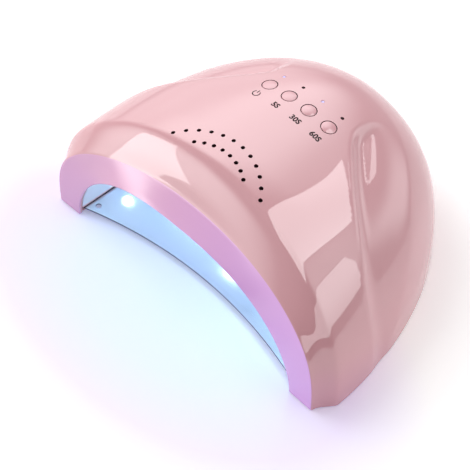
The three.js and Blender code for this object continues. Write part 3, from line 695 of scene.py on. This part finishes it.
BUTTON_NAMES = ("power", "timer_5", "timer_30", "timer_60")
BUTTON_PROUD = 0.6
BUTTON_DOME = 0.55
PLUNGER_TOP = 73.9
PLUNGER_GAP = 0.3
STEM_RADIUS = 1.8
COLLAR_GAP = 0.5
COLLAR_THICKNESS = 1.2
COLLAR_ROUND = 0.2
CAP_ROUND = 0.35
CAP_SHOULDER = 0.3
CAP_SIDE = 0.75
PIPE_RADIUS = 0.95
PIPE_FOOT = 69.9
PIPE_SINK = 0.15


def make_button(index, x):
    """Domed cap that follows the hood, its collar under the hood and its stem, as one moulding."""
    lowest = min(hood_top(x + BUTTON_COLLAR * math.cos(t), BUTTON_Y + BUTTON_COLLAR * math.sin(t))
                 for t in steps(25, 0, 2 * math.pi))
    collar_top = lowest - WALL - COLLAR_GAP
    collar_foot = collar_top - COLLAR_THICKNESS
    rim = CAP_RADIUS - CAP_ROUND
    round_drop = BUTTON_DOME + CAP_SHOULDER

    def over_hood(drop):
        return lambda dx, dy: hood_top(x + dx, BUTTON_Y + dy) + BUTTON_PROUD - drop

    rings = [
        (STEM_RADIUS, PLUNGER_TOP + PLUNGER_GAP), (STEM_RADIUS, collar_foot),
        (BUTTON_COLLAR - COLLAR_ROUND, collar_foot), (BUTTON_COLLAR, collar_foot + COLLAR_ROUND),
        (BUTTON_COLLAR, collar_top), (CAP_RADIUS, collar_top),
        (CAP_RADIUS, over_hood(BUTTON_DOME + CAP_SIDE)), (CAP_RADIUS, over_hood(round_drop)),
    ]
    for corner in steps(5, 0.2 * HALF_PI, HALF_PI):
        drop = round_drop - CAP_ROUND * math.sin(corner)
        rings.append((rim + CAP_ROUND * math.cos(corner), over_hood(drop)))
    for share in (0.85, 0.7, 0.5, 0.3, 0.12, 0.02):
        rings.append((rim * share, over_hood((round_drop - CAP_ROUND) * share ** 2)))
    bm = bmesh.new()
    ring_stack(bm, (x, BUTTON_Y, 0), rings, 56)
    button = finish_mesh("button_cap_" + BUTTON_NAMES[index], bm, 50)
    wear(button, "button")
    stand_in(button, "push_" + BUTTON_NAMES[index], "button_gloss", "button_" + BUTTON_NAMES[index])


def make_indicator(index, x):
    """Light pipe with a rounded tip just under the hood's surface; every other one is lit."""
    top = hood_top(x, LAMP_Y) - PIPE_SINK
    rings = [(PIPE_RADIUS, PIPE_FOOT), (PIPE_RADIUS, top - 0.3), (0.85, top - 0.15),
             (0.5, top - 0.04), (0.2, top)]
    bm = bmesh.new()
    ring_stack(bm, (x, LAMP_Y, 0), rings, 20)
    pipe = finish_mesh("light_pipe_%d" % (index + 1), bm, 60)
    wear(pipe, "lamp_on" if index % 2 == 0 else "lamp_off")
    stand_in(pipe, "housing", "indicator_lens", "indicator_light_%d" % (index + 1))


INK_THICKNESS = 0.04
INK_MESH_LENGTH = 1.2
LABEL_DROP = 11.4
SIGN_LIFT = 1.6
LABEL_SIZE = 4.6
LABEL_BOLDNESS = 0.15
LETTER_MERGE = 1e-4
SIGN_RADII = (1.75, 2.3)
SIGN_BAR = (0.27, 0.5, 2.7)
SIGN_GAP_ANGLE = 38


def print_on_hood(name, bm):
    """Lays flat ink shapes, drawn in layout X and Y, on the hood with a thin printed thickness."""
    bmesh.ops.triangulate(bm, faces=bm.faces)
    long_edges = [e for e in bm.edges if e.calc_length() > INK_MESH_LENGTH]
    bmesh.ops.subdivide_edges(bm, edges=long_edges, cuts=1)
    bmesh.ops.triangulate(bm, faces=bm.faces)
    raised = bmesh.ops.extrude_face_region(bm, geom=list(bm.faces))
    top = {v for v in raised["geom"] if isinstance(v, bmesh.types.BMVert)}
    for vert in bm.verts:
        lift = INK_THICKNESS if vert in top else -INK_THICKNESS
        vert.co = placed((vert.co.x, vert.co.y, hood_top(vert.co.x, vert.co.y) + lift))
    label = finish_mesh(name, bm)
    wear(label, "ink")
    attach(label, "housing")


def text_shapes(body, size, x, y):
    """Flat letters centred at x, standing on y."""
    curve = bpy.data.curves.new("lettering", "FONT")
    curve.body = body
    curve.size = size
    curve.offset = LABEL_BOLDNESS
    curve.align_x = "CENTER"
    curve.resolution_u = 4
    holder = bpy.data.objects.new("lettering", curve)
    bpy.context.scene.collection.objects.link(holder)
    bpy.context.view_layer.update()
    mesh = bpy.data.meshes.new_from_object(holder.evaluated_get(bpy.context.evaluated_depsgraph_get()))
    bpy.data.objects.remove(holder)
    bpy.data.curves.remove(curve)
    bm = bmesh.new()
    bm.from_mesh(mesh)
    bpy.data.meshes.remove(mesh)
    bmesh.ops.remove_doubles(bm, verts=bm.verts, dist=LETTER_MERGE)
    for vert in bm.verts:
        vert.co = Vector((vert.co.x + x, vert.co.y + y, 0))
    return bm


def power_sign(x, y):
    """Generic power sign: an open ring with a bar in its gap."""
    bm = bmesh.new()
    gap = math.radians(SIGN_GAP_ANGLE)
    arc = steps(25, HALF_PI + gap, HALF_PI + 2 * math.pi - gap)
    ring = [[bm.verts.new((x + r * math.cos(t), y + r * math.sin(t), 0)) for t in arc] for r in SIGN_RADII]
    for k in range(len(arc) - 1):
        bm.faces.new((ring[0][k], ring[1][k], ring[1][k + 1], ring[0][k + 1]))
    half, low, high = SIGN_BAR
    bar = ((-half, low), (half, low), (half, high), (-half, high))
    bm.faces.new([bm.verts.new((x + dx, y + dy, 0)) for dx, dy in bar])
    return bm


def make_labels():
    spots = panel_x(BUTTON_PITCH)
    y = BUTTON_Y - LABEL_DROP
    print_on_hood("label_power", power_sign(spots[0], y + SIGN_LIFT))
    for x, seconds in zip(spots[1:], (5, 30, 60)):
        print_on_hood("label_%d" % seconds, text_shapes("%dS" % seconds, LABEL_SIZE, x, y))


for place, spot in enumerate(panel_x(BUTTON_PITCH)):
    make_button(place, spot)
for place, spot in enumerate(panel_x(LAMP_PITCH)):
    make_indicator(place, spot)
make_labels()


# ---- hand cavity -----------------------------------------------------------------------------

def cavity_half_width(y, margin=0.0):
    back = clamp01((y - CAVITY_TAPER_Y) / (CAVITY_END_Y + margin - CAVITY_TAPER_Y))
    return (CAVITY_HALF_WIDTH + margin) * (1 - back ** CAVITY_POWER) ** (1 / CAVITY_POWER)


def cavity_height(y):
    back = clamp01((y - CAVITY_FALL_Y) / (CAVITY_END_Y - CAVITY_FALL_Y))
    crest = CAVITY_FRONT_HEIGHT + (CAVITY_HEIGHT - CAVITY_FRONT_HEIGHT) * clamp01(y / CAVITY_FALL_Y)
    return crest * (1 - back ** CAVITY_FALL_POWER) ** (1 / CAVITY_POWER)


def plain_cavity(angle, y):
    return arch_point(angle, cavity_half_width(y), cavity_height(y), y, MOUTH_N, MOUTH_M)


CAVITY_STEP = 0.05
CAVITY_MIDDLE = Vector((0, CAVITY_FALL_Y, 0))


def cavity_normal(angle, y):
    outward = plain_cavity(angle, y) - CAVITY_MIDDLE
    at = min(y, CAVITY_END_Y - 2 * CAVITY_STEP)
    return surface_normal(plain_cavity, kept_off_foot(angle), at, NORMAL_STEP, CAVITY_STEP, outward)


def cavity_point(angle, y, offset):
    """Point of the cavity's surface, moved outward by the offset."""
    if y >= CAVITY_END_Y - NEAR_ZERO:
        return Vector((0, CAVITY_END_Y + offset, 0))
    point = plain_cavity(angle, y) + cavity_normal(angle, y) * offset
    if abs(angle) > FOOT_ANGLE:
        point.z = 0
    return point


def bead_spots():
    """Section angle and Y of every LED bead, by strip."""
    spots = {}
    for name, y, count, spread in ARCH_STRIPS:
        spots[name] = [(a, y) for a in steps(count, -math.radians(spread), math.radians(spread))]
    for name, side in SIDE_STRIPS:
        spots[name] = [(side * math.radians(SIDE_STRIP_ANGLE), y) for y in SIDE_BEAD_Y]
    return spots


BEADS = bead_spots()
WINDOW_RADIUS = 3.1
BEAD_RADIUS = 2.7
BEAD_REACH = 1.2
BEAD_DOME = 1.5
BEAD_DOME_SHARE = 0.92
SENSOR_HOLE_RADIUS = 2.8
FOOT_CUT_SIZE = 0.4
STRIP_BACK = 2.1
STRIP_THICKNESS = 1.0
STRIP_HALF_WIDTH = 4.5


def make_liner():
    """Reflector over the cavity, with windows for the LEDs and the sensor, cut off level above the tray."""
    angles = steps(97, -HALF_PI, HALF_PI)

    def sheet(offset):
        rows = []
        for t in steps(61, 0.0, HALF_PI):
            row = []
            for a in angles:
                start = LINER_FRONT_Y + LINER_SETBACK * math.cos(a) ** 2
                row.append(cavity_point(a, start + (CAVITY_END_Y - start) * math.sin(t), offset))
            rows.append(row)
        return rows

    liner = sheet_mesh("reflector", sheet(LINER_WALL), sheet(0.0))
    rods = []
    for spots in BEADS.values():
        rods += [(cavity_point(a, y, -3), cavity_normal(a, y), WINDOW_RADIUS, 8, 24) for a, y in spots]
    rods.append(((0, SENSOR_Y, 50), (0, 0, 1), SENSOR_HOLE_RADIUS, 20, 24))
    cut_away(liner, cutter_piece("liner_windows", rods))
    bm = bmesh.new()
    bmesh.ops.create_cube(bm, size=FOOT_CUT_SIZE)
    lift = (LINER_FOOT_Z + RIM_LIFT) * MM - FOOT_CUT_SIZE / 2
    bmesh.ops.translate(bm, verts=bm.verts, vec=Vector((0, 0, lift)))
    cut_away(liner, finish_mesh("liner_foot_cut", bm))
    wear(liner, "reflector")
    stand_in(liner, "housing", "reflector", "reflector_liner")


def bead_rings(length):
    """Ceramic base, then a clear dome, from the strip towards the cavity."""
    foot = length - BEAD_DOME
    rings = [(BEAD_RADIUS, 0.0), (BEAD_RADIUS, foot)]
    for t in steps(6, 0.15, 1.0):
        radius = BEAD_RADIUS * BEAD_DOME_SHARE * math.cos(HALF_PI * t * 0.985)
        rings.append((radius, foot + BEAD_DOME * math.sin(HALF_PI * t)))
    return rings


def make_strip(name):
    """Flexible board behind the reflector, over the arch or along one side, and its LED beads."""
    spots = BEADS[name]
    if spots[0][1] == spots[1][1]:
        edge = abs(spots[0][0]) + math.radians(STRIP_END_ANGLE)
        angles = steps(81, -edge, edge)
        ys = (spots[0][1] - STRIP_HALF_WIDTH, spots[0][1] + STRIP_HALF_WIDTH)
    else:
        half = math.radians(SIDE_STRIP_HALF_ANGLE)
        angles = steps(5, spots[0][0] - half, spots[0][0] + half)
        ys = steps(15, *SIDE_STRIP_Y)
    outer = [[cavity_point(a, y, STRIP_BACK + STRIP_THICKNESS) for a in angles] for y in ys]
    inner = [[cavity_point(a, y, STRIP_BACK) for a in angles] for y in ys]
    flex = sheet_mesh(name + "_flex", outer, inner)
    wear(flex, "flex")
    root = STRIP_BACK + STRIP_THICKNESS / 2
    bm = bmesh.new()
    for a, y in spots:
        inward = -cavity_normal(a, y)
        turn = Vector((0, 0, 1)).rotation_difference(inward).to_matrix()
        ring_stack(bm, cavity_point(a, y, root), bead_rings(root + BEAD_REACH), 24, turn)
    beads = finish_mesh(name + "_beads", bm, 40)
    wear(beads, "bead")
    for piece in (flex, beads):
        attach(piece, "housing")
    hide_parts(name)


make_liner()
for strip_name in BEADS:
    make_strip(strip_name)


# ---- tray ------------------------------------------------------------------------------------

TRAY_BOTTOM = 0.8
TRAY_TOP = 1.8
TRAY_MARGIN = 1.7
TRAY_FRONT_DIP = 18.0
TRAY_CORNER_Y = 4.0
TRAY_HOLE_X = 78.0
TRAY_HOLE_Y = 11.0
TRAY_HOLE_RADIUS = 1.6
TRAY_EDGE = 0.14
BEVEL_STEPS = 2
BEVEL_ANGLE = 30
BEVEL_SMOOTH_ANGLE = 40
FLAT_TILT = 0.5


def bevelled(piece, width):
    """Rounds the piece's sharp edges by a width in millimetres."""
    bevel = piece.modifiers.new("edges", "BEVEL")
    bevel.width = width * MM
    bevel.segments = BEVEL_STEPS
    bevel.limit_method = "ANGLE"
    bevel.angle_limit = math.radians(BEVEL_ANGLE)
    apply_modifiers(piece)
    shade(piece, BEVEL_SMOOTH_ANGLE)


def make_tray():
    """Mirror sheet as wide as the cavity, with a hollow front edge and a hole near each front corner."""
    half = CAVITY_HALF_WIDTH + TRAY_MARGIN
    end = CAVITY_END_Y + TRAY_MARGIN
    outline = [(half, TRAY_CORNER_Y)]
    for t in steps(49, 0.0, HALF_PI)[:-1]:
        y = CAVITY_TAPER_Y + (end - CAVITY_TAPER_Y) * math.sin(t)
        outline.append((cavity_half_width(y, TRAY_MARGIN), y))
    outline += [(0.0, end)] + [(-x, y) for x, y in reversed(outline)]
    dip = (TRAY_FRONT_DIP - TRAY_CORNER_Y) / half ** 2
    outline += [(x, TRAY_FRONT_DIP - dip * x * x) for x in steps(81, -half, half)[1:-1]]
    tray = extruded("mirror_tray", outline, TRAY_BOTTOM, TRAY_TOP)
    rods = [((side * TRAY_HOLE_X, TRAY_HOLE_Y, 0), (0, 0, 1), TRAY_HOLE_RADIUS, 4, 32) for side in (-1, 1)]
    cut_away(tray, cutter_piece("tray_holes", rods))
    bevelled(tray, TRAY_EDGE)
    wear(tray, "mirror", "sheet_edge")
    for face in tray.data.polygons:
        # the faces that don't lie flat are the cut edge of the sheet, given a dark metal look so a thin
        # dark line runs along the tray's front
        face.material_index = 1 if abs(face.normal.z) < FLAT_TILT else 0
    stand_in(tray, "tray", "mirror_steel", "base_tray")


make_tray()


# ---- underside and rear ----------------------------------------------------------------------

FOOT_SPOTS = ((-93.5, 14), (93.5, 14), (-62, 116), (62, 116))
COVER_SCREW_SPOTS = ((-92, 32), (92, 32), (-91, 66), (91, 66), (-45, 131), (45, 131))
CROSS_ARM = (1.35, 0.28)
CROSS_Z = (-0.5, 1.1)


def make_foot(index, x, y):
    """Rubber disc with a rounded rim and a shallow dish in its sole."""
    rings = [(0.6, -0.45), (2.9, -0.45), (3.3, -0.6), (4.1, -0.6), (4.45, -0.5), (4.6, -0.25), (4.6, 0.6)]
    bm = bmesh.new()
    ring_stack(bm, (x, y, 0), rings, 48)
    foot = finish_mesh("foot_pad_%d" % index, bm, 50)
    wear(foot, "rubber")
    stand_in(foot, "housing", "foot_rubber", "rubber_foot_%d" % index)


def cross_cutter(x, y):
    """Temporary plus-shaped prism for the recess of a cover screw."""
    long, short = CROSS_ARM
    outline = []
    for quarter in range(4):
        turn = Matrix.Rotation(HALF_PI * quarter, 2)
        outline += [turn @ Vector(corner) for corner in ((long, -short), (long, short), (short, short))]
    return extruded("cross_recess", [(x + corner.x, y + corner.y) for corner in outline], *CROSS_Z)


def make_cover_screw(index, x, y):
    """Pan head with a cross recess, seen from below, and a plain shank."""
    rings = [(1.5, 0.3), (2.2, 0.34), (2.6, 0.55), (2.8, 0.95), (2.8, 1.8), (1.35, 1.8), (1.35, 10.3),
             (0.4, 11.2)]
    bm = bmesh.new()
    ring_stack(bm, (x, y, 0), rings, 36)
    screw = finish_mesh("pan_screw_%d" % index, bm, 40)
    cut_away(screw, cross_cutter(x, y), 40)
    wear(screw, "steel")
    stand_in(screw, "housing", "screw_steel", "cover_screw_%d" % index)


NOSE_END_Y = 156.7
NOSE_LENGTH = 15.0
JACK_BLOCK = (9.6, 4.4, 10.7)
JACK_BLOCK_PLACE = (0, 141.7, 12.25)
JACK_BLOCK_EDGE = 0.3


def make_jack():
    """Round nose flush with the hood, a bore with a chamfered mouth and the pin inside."""
    face = Vector((0, NOSE_END_Y - NOSE_LENGTH, JACK_Z))
    turn = Vector((0, 0, 1)).rotation_difference(Vector((0, 1, 0))).to_matrix()
    end = NOSE_LENGTH
    rings = [(4.5, 0), (4.5, end - 0.4), (4.1, end), (3.6, end), (3.25, end - 0.4), (3.25, 3.0),
             (1.0, 3.0), (1.0, end - 5.4), (0.75, end - 5.0), (0.35, end - 4.8)]
    bm = bmesh.new()
    ring_stack(bm, face, rings, 48, turn)
    nose = finish_mesh("jack_nose", bm, 40)
    wear(nose, "black")
    body = bmesh.new()
    corners = bmesh.ops.create_cube(body, size=1.0)["verts"]
    bmesh.ops.scale(body, verts=corners, vec=Vector(JACK_BLOCK) * MM)
    bmesh.ops.translate(body, verts=corners, vec=placed(JACK_BLOCK_PLACE))
    block = finish_mesh("jack_block", body)
    bevelled(block, JACK_BLOCK_EDGE)
    wear(block, "black")
    for piece in (nose, block):
        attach(piece, "housing")
    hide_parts("dc_jack")


for place, spot in enumerate(FOOT_SPOTS, 1):
    make_foot(place, *spot)
for place, spot in enumerate(COVER_SCREW_SPOTS, 1):
    make_cover_screw(place, *spot)
make_jack()


# ---- nodes that keep their CAD shape -----------------------------------------------------------

LOOK_OF_NODES = {
    "bottom_cover": "base",
    "hand_sensor": "sensor",
    "control_board": "board",
    "driver_board": "board",
    "timer_chip": "black",
    "tact_switch": "black",
    "switch_plunger": "black",
    "control_screw": "steel",
    "driver_screw": "steel",
    "driver_inductor": "ferrite",
    "driver_capacitor": "sleeve",
    "driver_transistor": "black",
    "ribbon_cable": "cable",
}


def dress_nodes():
    """Gives every node in the list the look that goes with the start of its name."""
    for name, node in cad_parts.items():
        for prefix, look in LOOK_OF_NODES.items():
            if name.startswith(prefix):
                wear(node, look)


dress_nodes()


# ---- camera ----------------------------------------------------------------------------------

AZIMUTH = math.radians(46.34)
ELEVATION = math.radians(49.75)
DISTANCE = 0.8718
LENS = 122.55
SENSOR_WIDTH = 36
AIM = Vector((-0.0101, -0.0281, 0.0030))


def make_camera():
    """Camera at the photo's viewing angle, looking at AIM."""
    data = bpy.data.cameras.new("camera")
    data.lens = LENS
    data.sensor_width = SENSOR_WIDTH
    camera = bpy.data.objects.new("camera", data)
    bpy.context.scene.collection.objects.link(camera)
    level = math.cos(ELEVATION)
    towards = Vector((-math.sin(AZIMUTH) * level, math.cos(AZIMUTH) * level, -math.sin(ELEVATION)))
    camera.location = AIM - towards * DISTANCE
    camera.rotation_euler = towards.to_track_quat("-Z", "Y").to_euler()
    bpy.context.scene.camera = camera


make_camera()


# ---- studio ----------------------------------------------------------------------------------

WORLD_STRENGTH = 0.75
DIM_STRENGTH = 0.10
DIM_SIDE = (0.82, -0.57, 0.0)
DIM_REACH = (0.1, 0.9)
PALE_BLUE = (0.54, 0.90, 1.0)
PALE_VIOLET = (0.42, 0.52, 1.0)

# name, place, aim, (width, height), roll in degrees, radiance, share of each side over which it fades out
FILL_BOXES = (
    ("key_box", (-1.0, -0.25, 1.30), (0.0, 0.0, 0.0), (1.3, 1.3), 0, 3.3, 0.2),
    ("right_fill", (1.1, 0.45, 0.50), (0.0, 0.0, 0.05), (0.8, 0.6), 0, 1.5, 0.2),
)
# the same for the panels that the glossy hood mirrors: sharp ones as bright patches, soft ones as a veil
GLINT_BOXES = (
    ("window_glint", (0.26, 0.0, 1.0), (0.26, 0.05, 0.0), (0.52, 1.56), 0, 3.1, 0.01),
    ("rear_glint", (0.18, 0.93, 1.0), (0.18, 0.97, 0.0), (0.17, 0.11), 0, 2.4, 0.01),
    ("right_glint", (1.1, -0.4, 0.72), (0.0, -0.4, 0.72), (2.3, 0.9), 0, 2.0, 0.01),
    ("front_left_glint", (-0.72, -0.80, 0.33), (0.0, 0.0, 0.03), (0.22, 0.56), 35, 2.6, 0.01),
    ("front_left_veil", (-0.76, -0.87, 0.38), (0.0, 0.0, 0.03), (1.6, 0.9), 0, 2.6, 0.4),
    ("sky_veil", (-0.9, 0.7, 1.15), (0.0, 0.0, 0.0), (2.9, 2.2), 0, 2.65, 0.4),
    ("left_veil", (-1.3, 0.7, 0.32), (0.0, 0.0, 0.03), (2.0, 0.7), 0, 1.0, 0.4),
    ("right_veil", (1.0, 0.30, 0.95), (0.0, 0.0, 0.0), (2.2, 1.9), 0, 1.2, 0.4),
    ("rear_veil", (0.56, 1.06, 0.49), (0.0, 0.0, 0.0), (1.1, 0.9), 0, 1.5, 0.4),
)


def place_light(name, data, place, aim):
    light = bpy.data.objects.new(name, data)
    bpy.context.scene.collection.objects.link(light)
    light.location = place
    light.rotation_euler = (Vector(aim) - Vector(place)).to_track_quat("-Z", "Y").to_euler()
    return light


def fade_share(tree, across, share):
    """Node value that is one in the middle of a light and falls smoothly to zero at two opposite sides."""
    offset = tree.nodes.new("ShaderNodeMath")
    offset.operation = "SUBTRACT"
    offset.inputs[1].default_value = 0.5
    size = tree.nodes.new("ShaderNodeMath")
    size.operation = "ABSOLUTE"
    fade = tree.nodes.new("ShaderNodeMapRange")
    fade.interpolation_type = "SMOOTHSTEP"
    fade.inputs["From Min"].default_value = 0.5 - share
    fade.inputs["From Max"].default_value = 0.5
    fade.inputs["To Min"].default_value = 1.0
    fade.inputs["To Max"].default_value = 0.0
    tree.links.new(across, offset.inputs[0])
    tree.links.new(offset.outputs["Value"], size.inputs[0])
    tree.links.new(size.outputs["Value"], fade.inputs["Value"])
    return fade.outputs["Result"]


def fade_edges(data, share):
    """Lets the light fall off smoothly towards all four of its sides."""
    data.use_nodes = True
    tree = data.node_tree
    over = tree.nodes.new("ShaderNodeNewGeometry").outputs["Parametric"]
    split = tree.nodes.new("ShaderNodeSeparateXYZ")
    both = tree.nodes.new("ShaderNodeMath")
    both.operation = "MULTIPLY"
    tree.links.new(over, split.inputs["Vector"])
    tree.links.new(fade_share(tree, split.outputs["X"], share), both.inputs[0])
    tree.links.new(fade_share(tree, split.outputs["Y"], share), both.inputs[1])
    tree.links.new(both.outputs["Value"], tree.nodes["Emission"].inputs["Strength"])


def soft_box(name, place, aim, size, roll, radiance, fade):
    """Flat rectangular light, as bright as asked for whatever its size, fainter towards its edges."""
    data = bpy.data.lights.new(name, "AREA")
    data.shape = "RECTANGLE"
    data.size, data.size_y = size
    data.energy = radiance * math.pi * size[0] * size[1]
    fade_edges(data, fade)
    box = place_light(name, data, place, aim)
    box.rotation_euler.rotate_axis("Z", math.radians(roll))
    return box


def cavity_lamp(name, place, power, color):
    """Glow of the LEDs that fills the cavity, itself unseen in the mirror tray."""
    data = bpy.data.lights.new(name, "POINT")
    data.energy = power
    data.color = color
    data.shadow_soft_size = LAMP_SIZE
    lamp = place_light(name, data, place, (0, 0, 0))
    lamp.visible_glossy = False
    lamp.visible_camera = False


LAMP_SIZE = 0.008
# emission of the whole floor, which lifts it evenly; in the middle it carries the painted glow's colour
FLOOR_GLOW = 0.20
PAINTED_GLOW_CENTRE = (0.0, -0.085)
PAINTED_GLOW_RADIUS = (0.165, 0.095)
# share of the way from the painted pool's edge to its middle, and the painted colour of the lamp's glow
# there
PAINTED_GLOW_TINTS = (
    (0.0, (1.0, 1.0, 1.0)),
    (0.3, (0.84, 0.78, 0.98)),
    (0.62, (0.76, 0.82, 0.97)),
    (1.0, (0.74, 0.83, 0.95)),
)


def floor_look():
    """White board with the pale blue and lavender of the lamp's glow painted into its middle, in its colour
    and its emission.
    """
    look = Look("floor_painted_glow", (0.97, 0.97, 0.97), 0.6)
    spread = look.tree.nodes.new("ShaderNodeMapping")
    spread.vector_type = "TEXTURE"
    spread.inputs["Location"].default_value = (*PAINTED_GLOW_CENTRE, 0)
    spread.inputs["Scale"].default_value = (*PAINTED_GLOW_RADIUS, 1)
    pool = look.tree.nodes.new("ShaderNodeTexGradient")
    pool.gradient_type = "SPHERICAL"
    painted_pool_colour = look.tree.nodes.new("ShaderNodeValToRGB")
    ramp = painted_pool_colour.color_ramp
    while len(ramp.elements) < len(PAINTED_GLOW_TINTS):
        ramp.elements.new(0.5)
    for element, (position, color) in zip(ramp.elements, PAINTED_GLOW_TINTS):
        element.position = position
        element.color = (*color, 1)
    look.tree.links.new(look.place, spread.inputs["Vector"])
    look.tree.links.new(spread.outputs["Vector"], pool.inputs["Vector"])
    look.tree.links.new(pool.outputs["Fac"], painted_pool_colour.inputs["Fac"])
    look.tree.links.new(painted_pool_colour.outputs["Color"], look.shader.inputs["Base Color"])
    look.tree.links.new(painted_pool_colour.outputs["Color"], look.shader.inputs["Emission Color"])
    look.set(Specular_IOR_Level=0.1, Emission_Strength=FLOOR_GLOW)
    return look.material


CAVITY_LAMPS = (
    ("cavity_left", (-0.045, -0.03, 0.032), 0.013, PALE_VIOLET),
    ("cavity_right", (0.045, -0.03, 0.032), 0.034, PALE_BLUE),
)
FLOOR_HALF_SIZE = 6.0


def make_studio():
    """White world, dimmer on one side, the floor, and all the lights."""
    world = bpy.data.worlds.new("studio")
    bpy.context.scene.world = world
    world.use_nodes = True
    tree = world.node_tree
    tree.nodes["Background"].inputs["Color"].default_value = (1, 1, 1, 1)
    towards_dim_side = tree.nodes.new("ShaderNodeVectorMath")
    towards_dim_side.operation = "DOT_PRODUCT"
    towards_dim_side.inputs[1].default_value = DIM_SIDE
    strength = tree.nodes.new("ShaderNodeMapRange")
    strength.interpolation_type = "SMOOTHSTEP"
    strength.inputs["From Min"].default_value, strength.inputs["From Max"].default_value = DIM_REACH
    strength.inputs["To Min"].default_value = WORLD_STRENGTH
    strength.inputs["To Max"].default_value = DIM_STRENGTH
    tree.links.new(tree.nodes.new("ShaderNodeTexCoord").outputs["Generated"], towards_dim_side.inputs[0])
    tree.links.new(towards_dim_side.outputs["Value"], strength.inputs["Value"])
    tree.links.new(strength.outputs["Result"], tree.nodes["Background"].inputs["Strength"])
    bm = bmesh.new()
    bmesh.ops.create_grid(bm, x_segments=2, y_segments=2, size=FLOOR_HALF_SIZE)
    floor = finish_mesh("floor", bm)
    floor.data.materials.append(floor_look())
    for row in FILL_BOXES:
        soft_box(*row).visible_glossy = False
    for row in GLINT_BOXES:
        soft_box(*row).visible_diffuse = False
    for row in CAVITY_LAMPS:
        cavity_lamp(*row)


make_studio()
bpy.context.scene.view_settings.view_transform = "Standard"
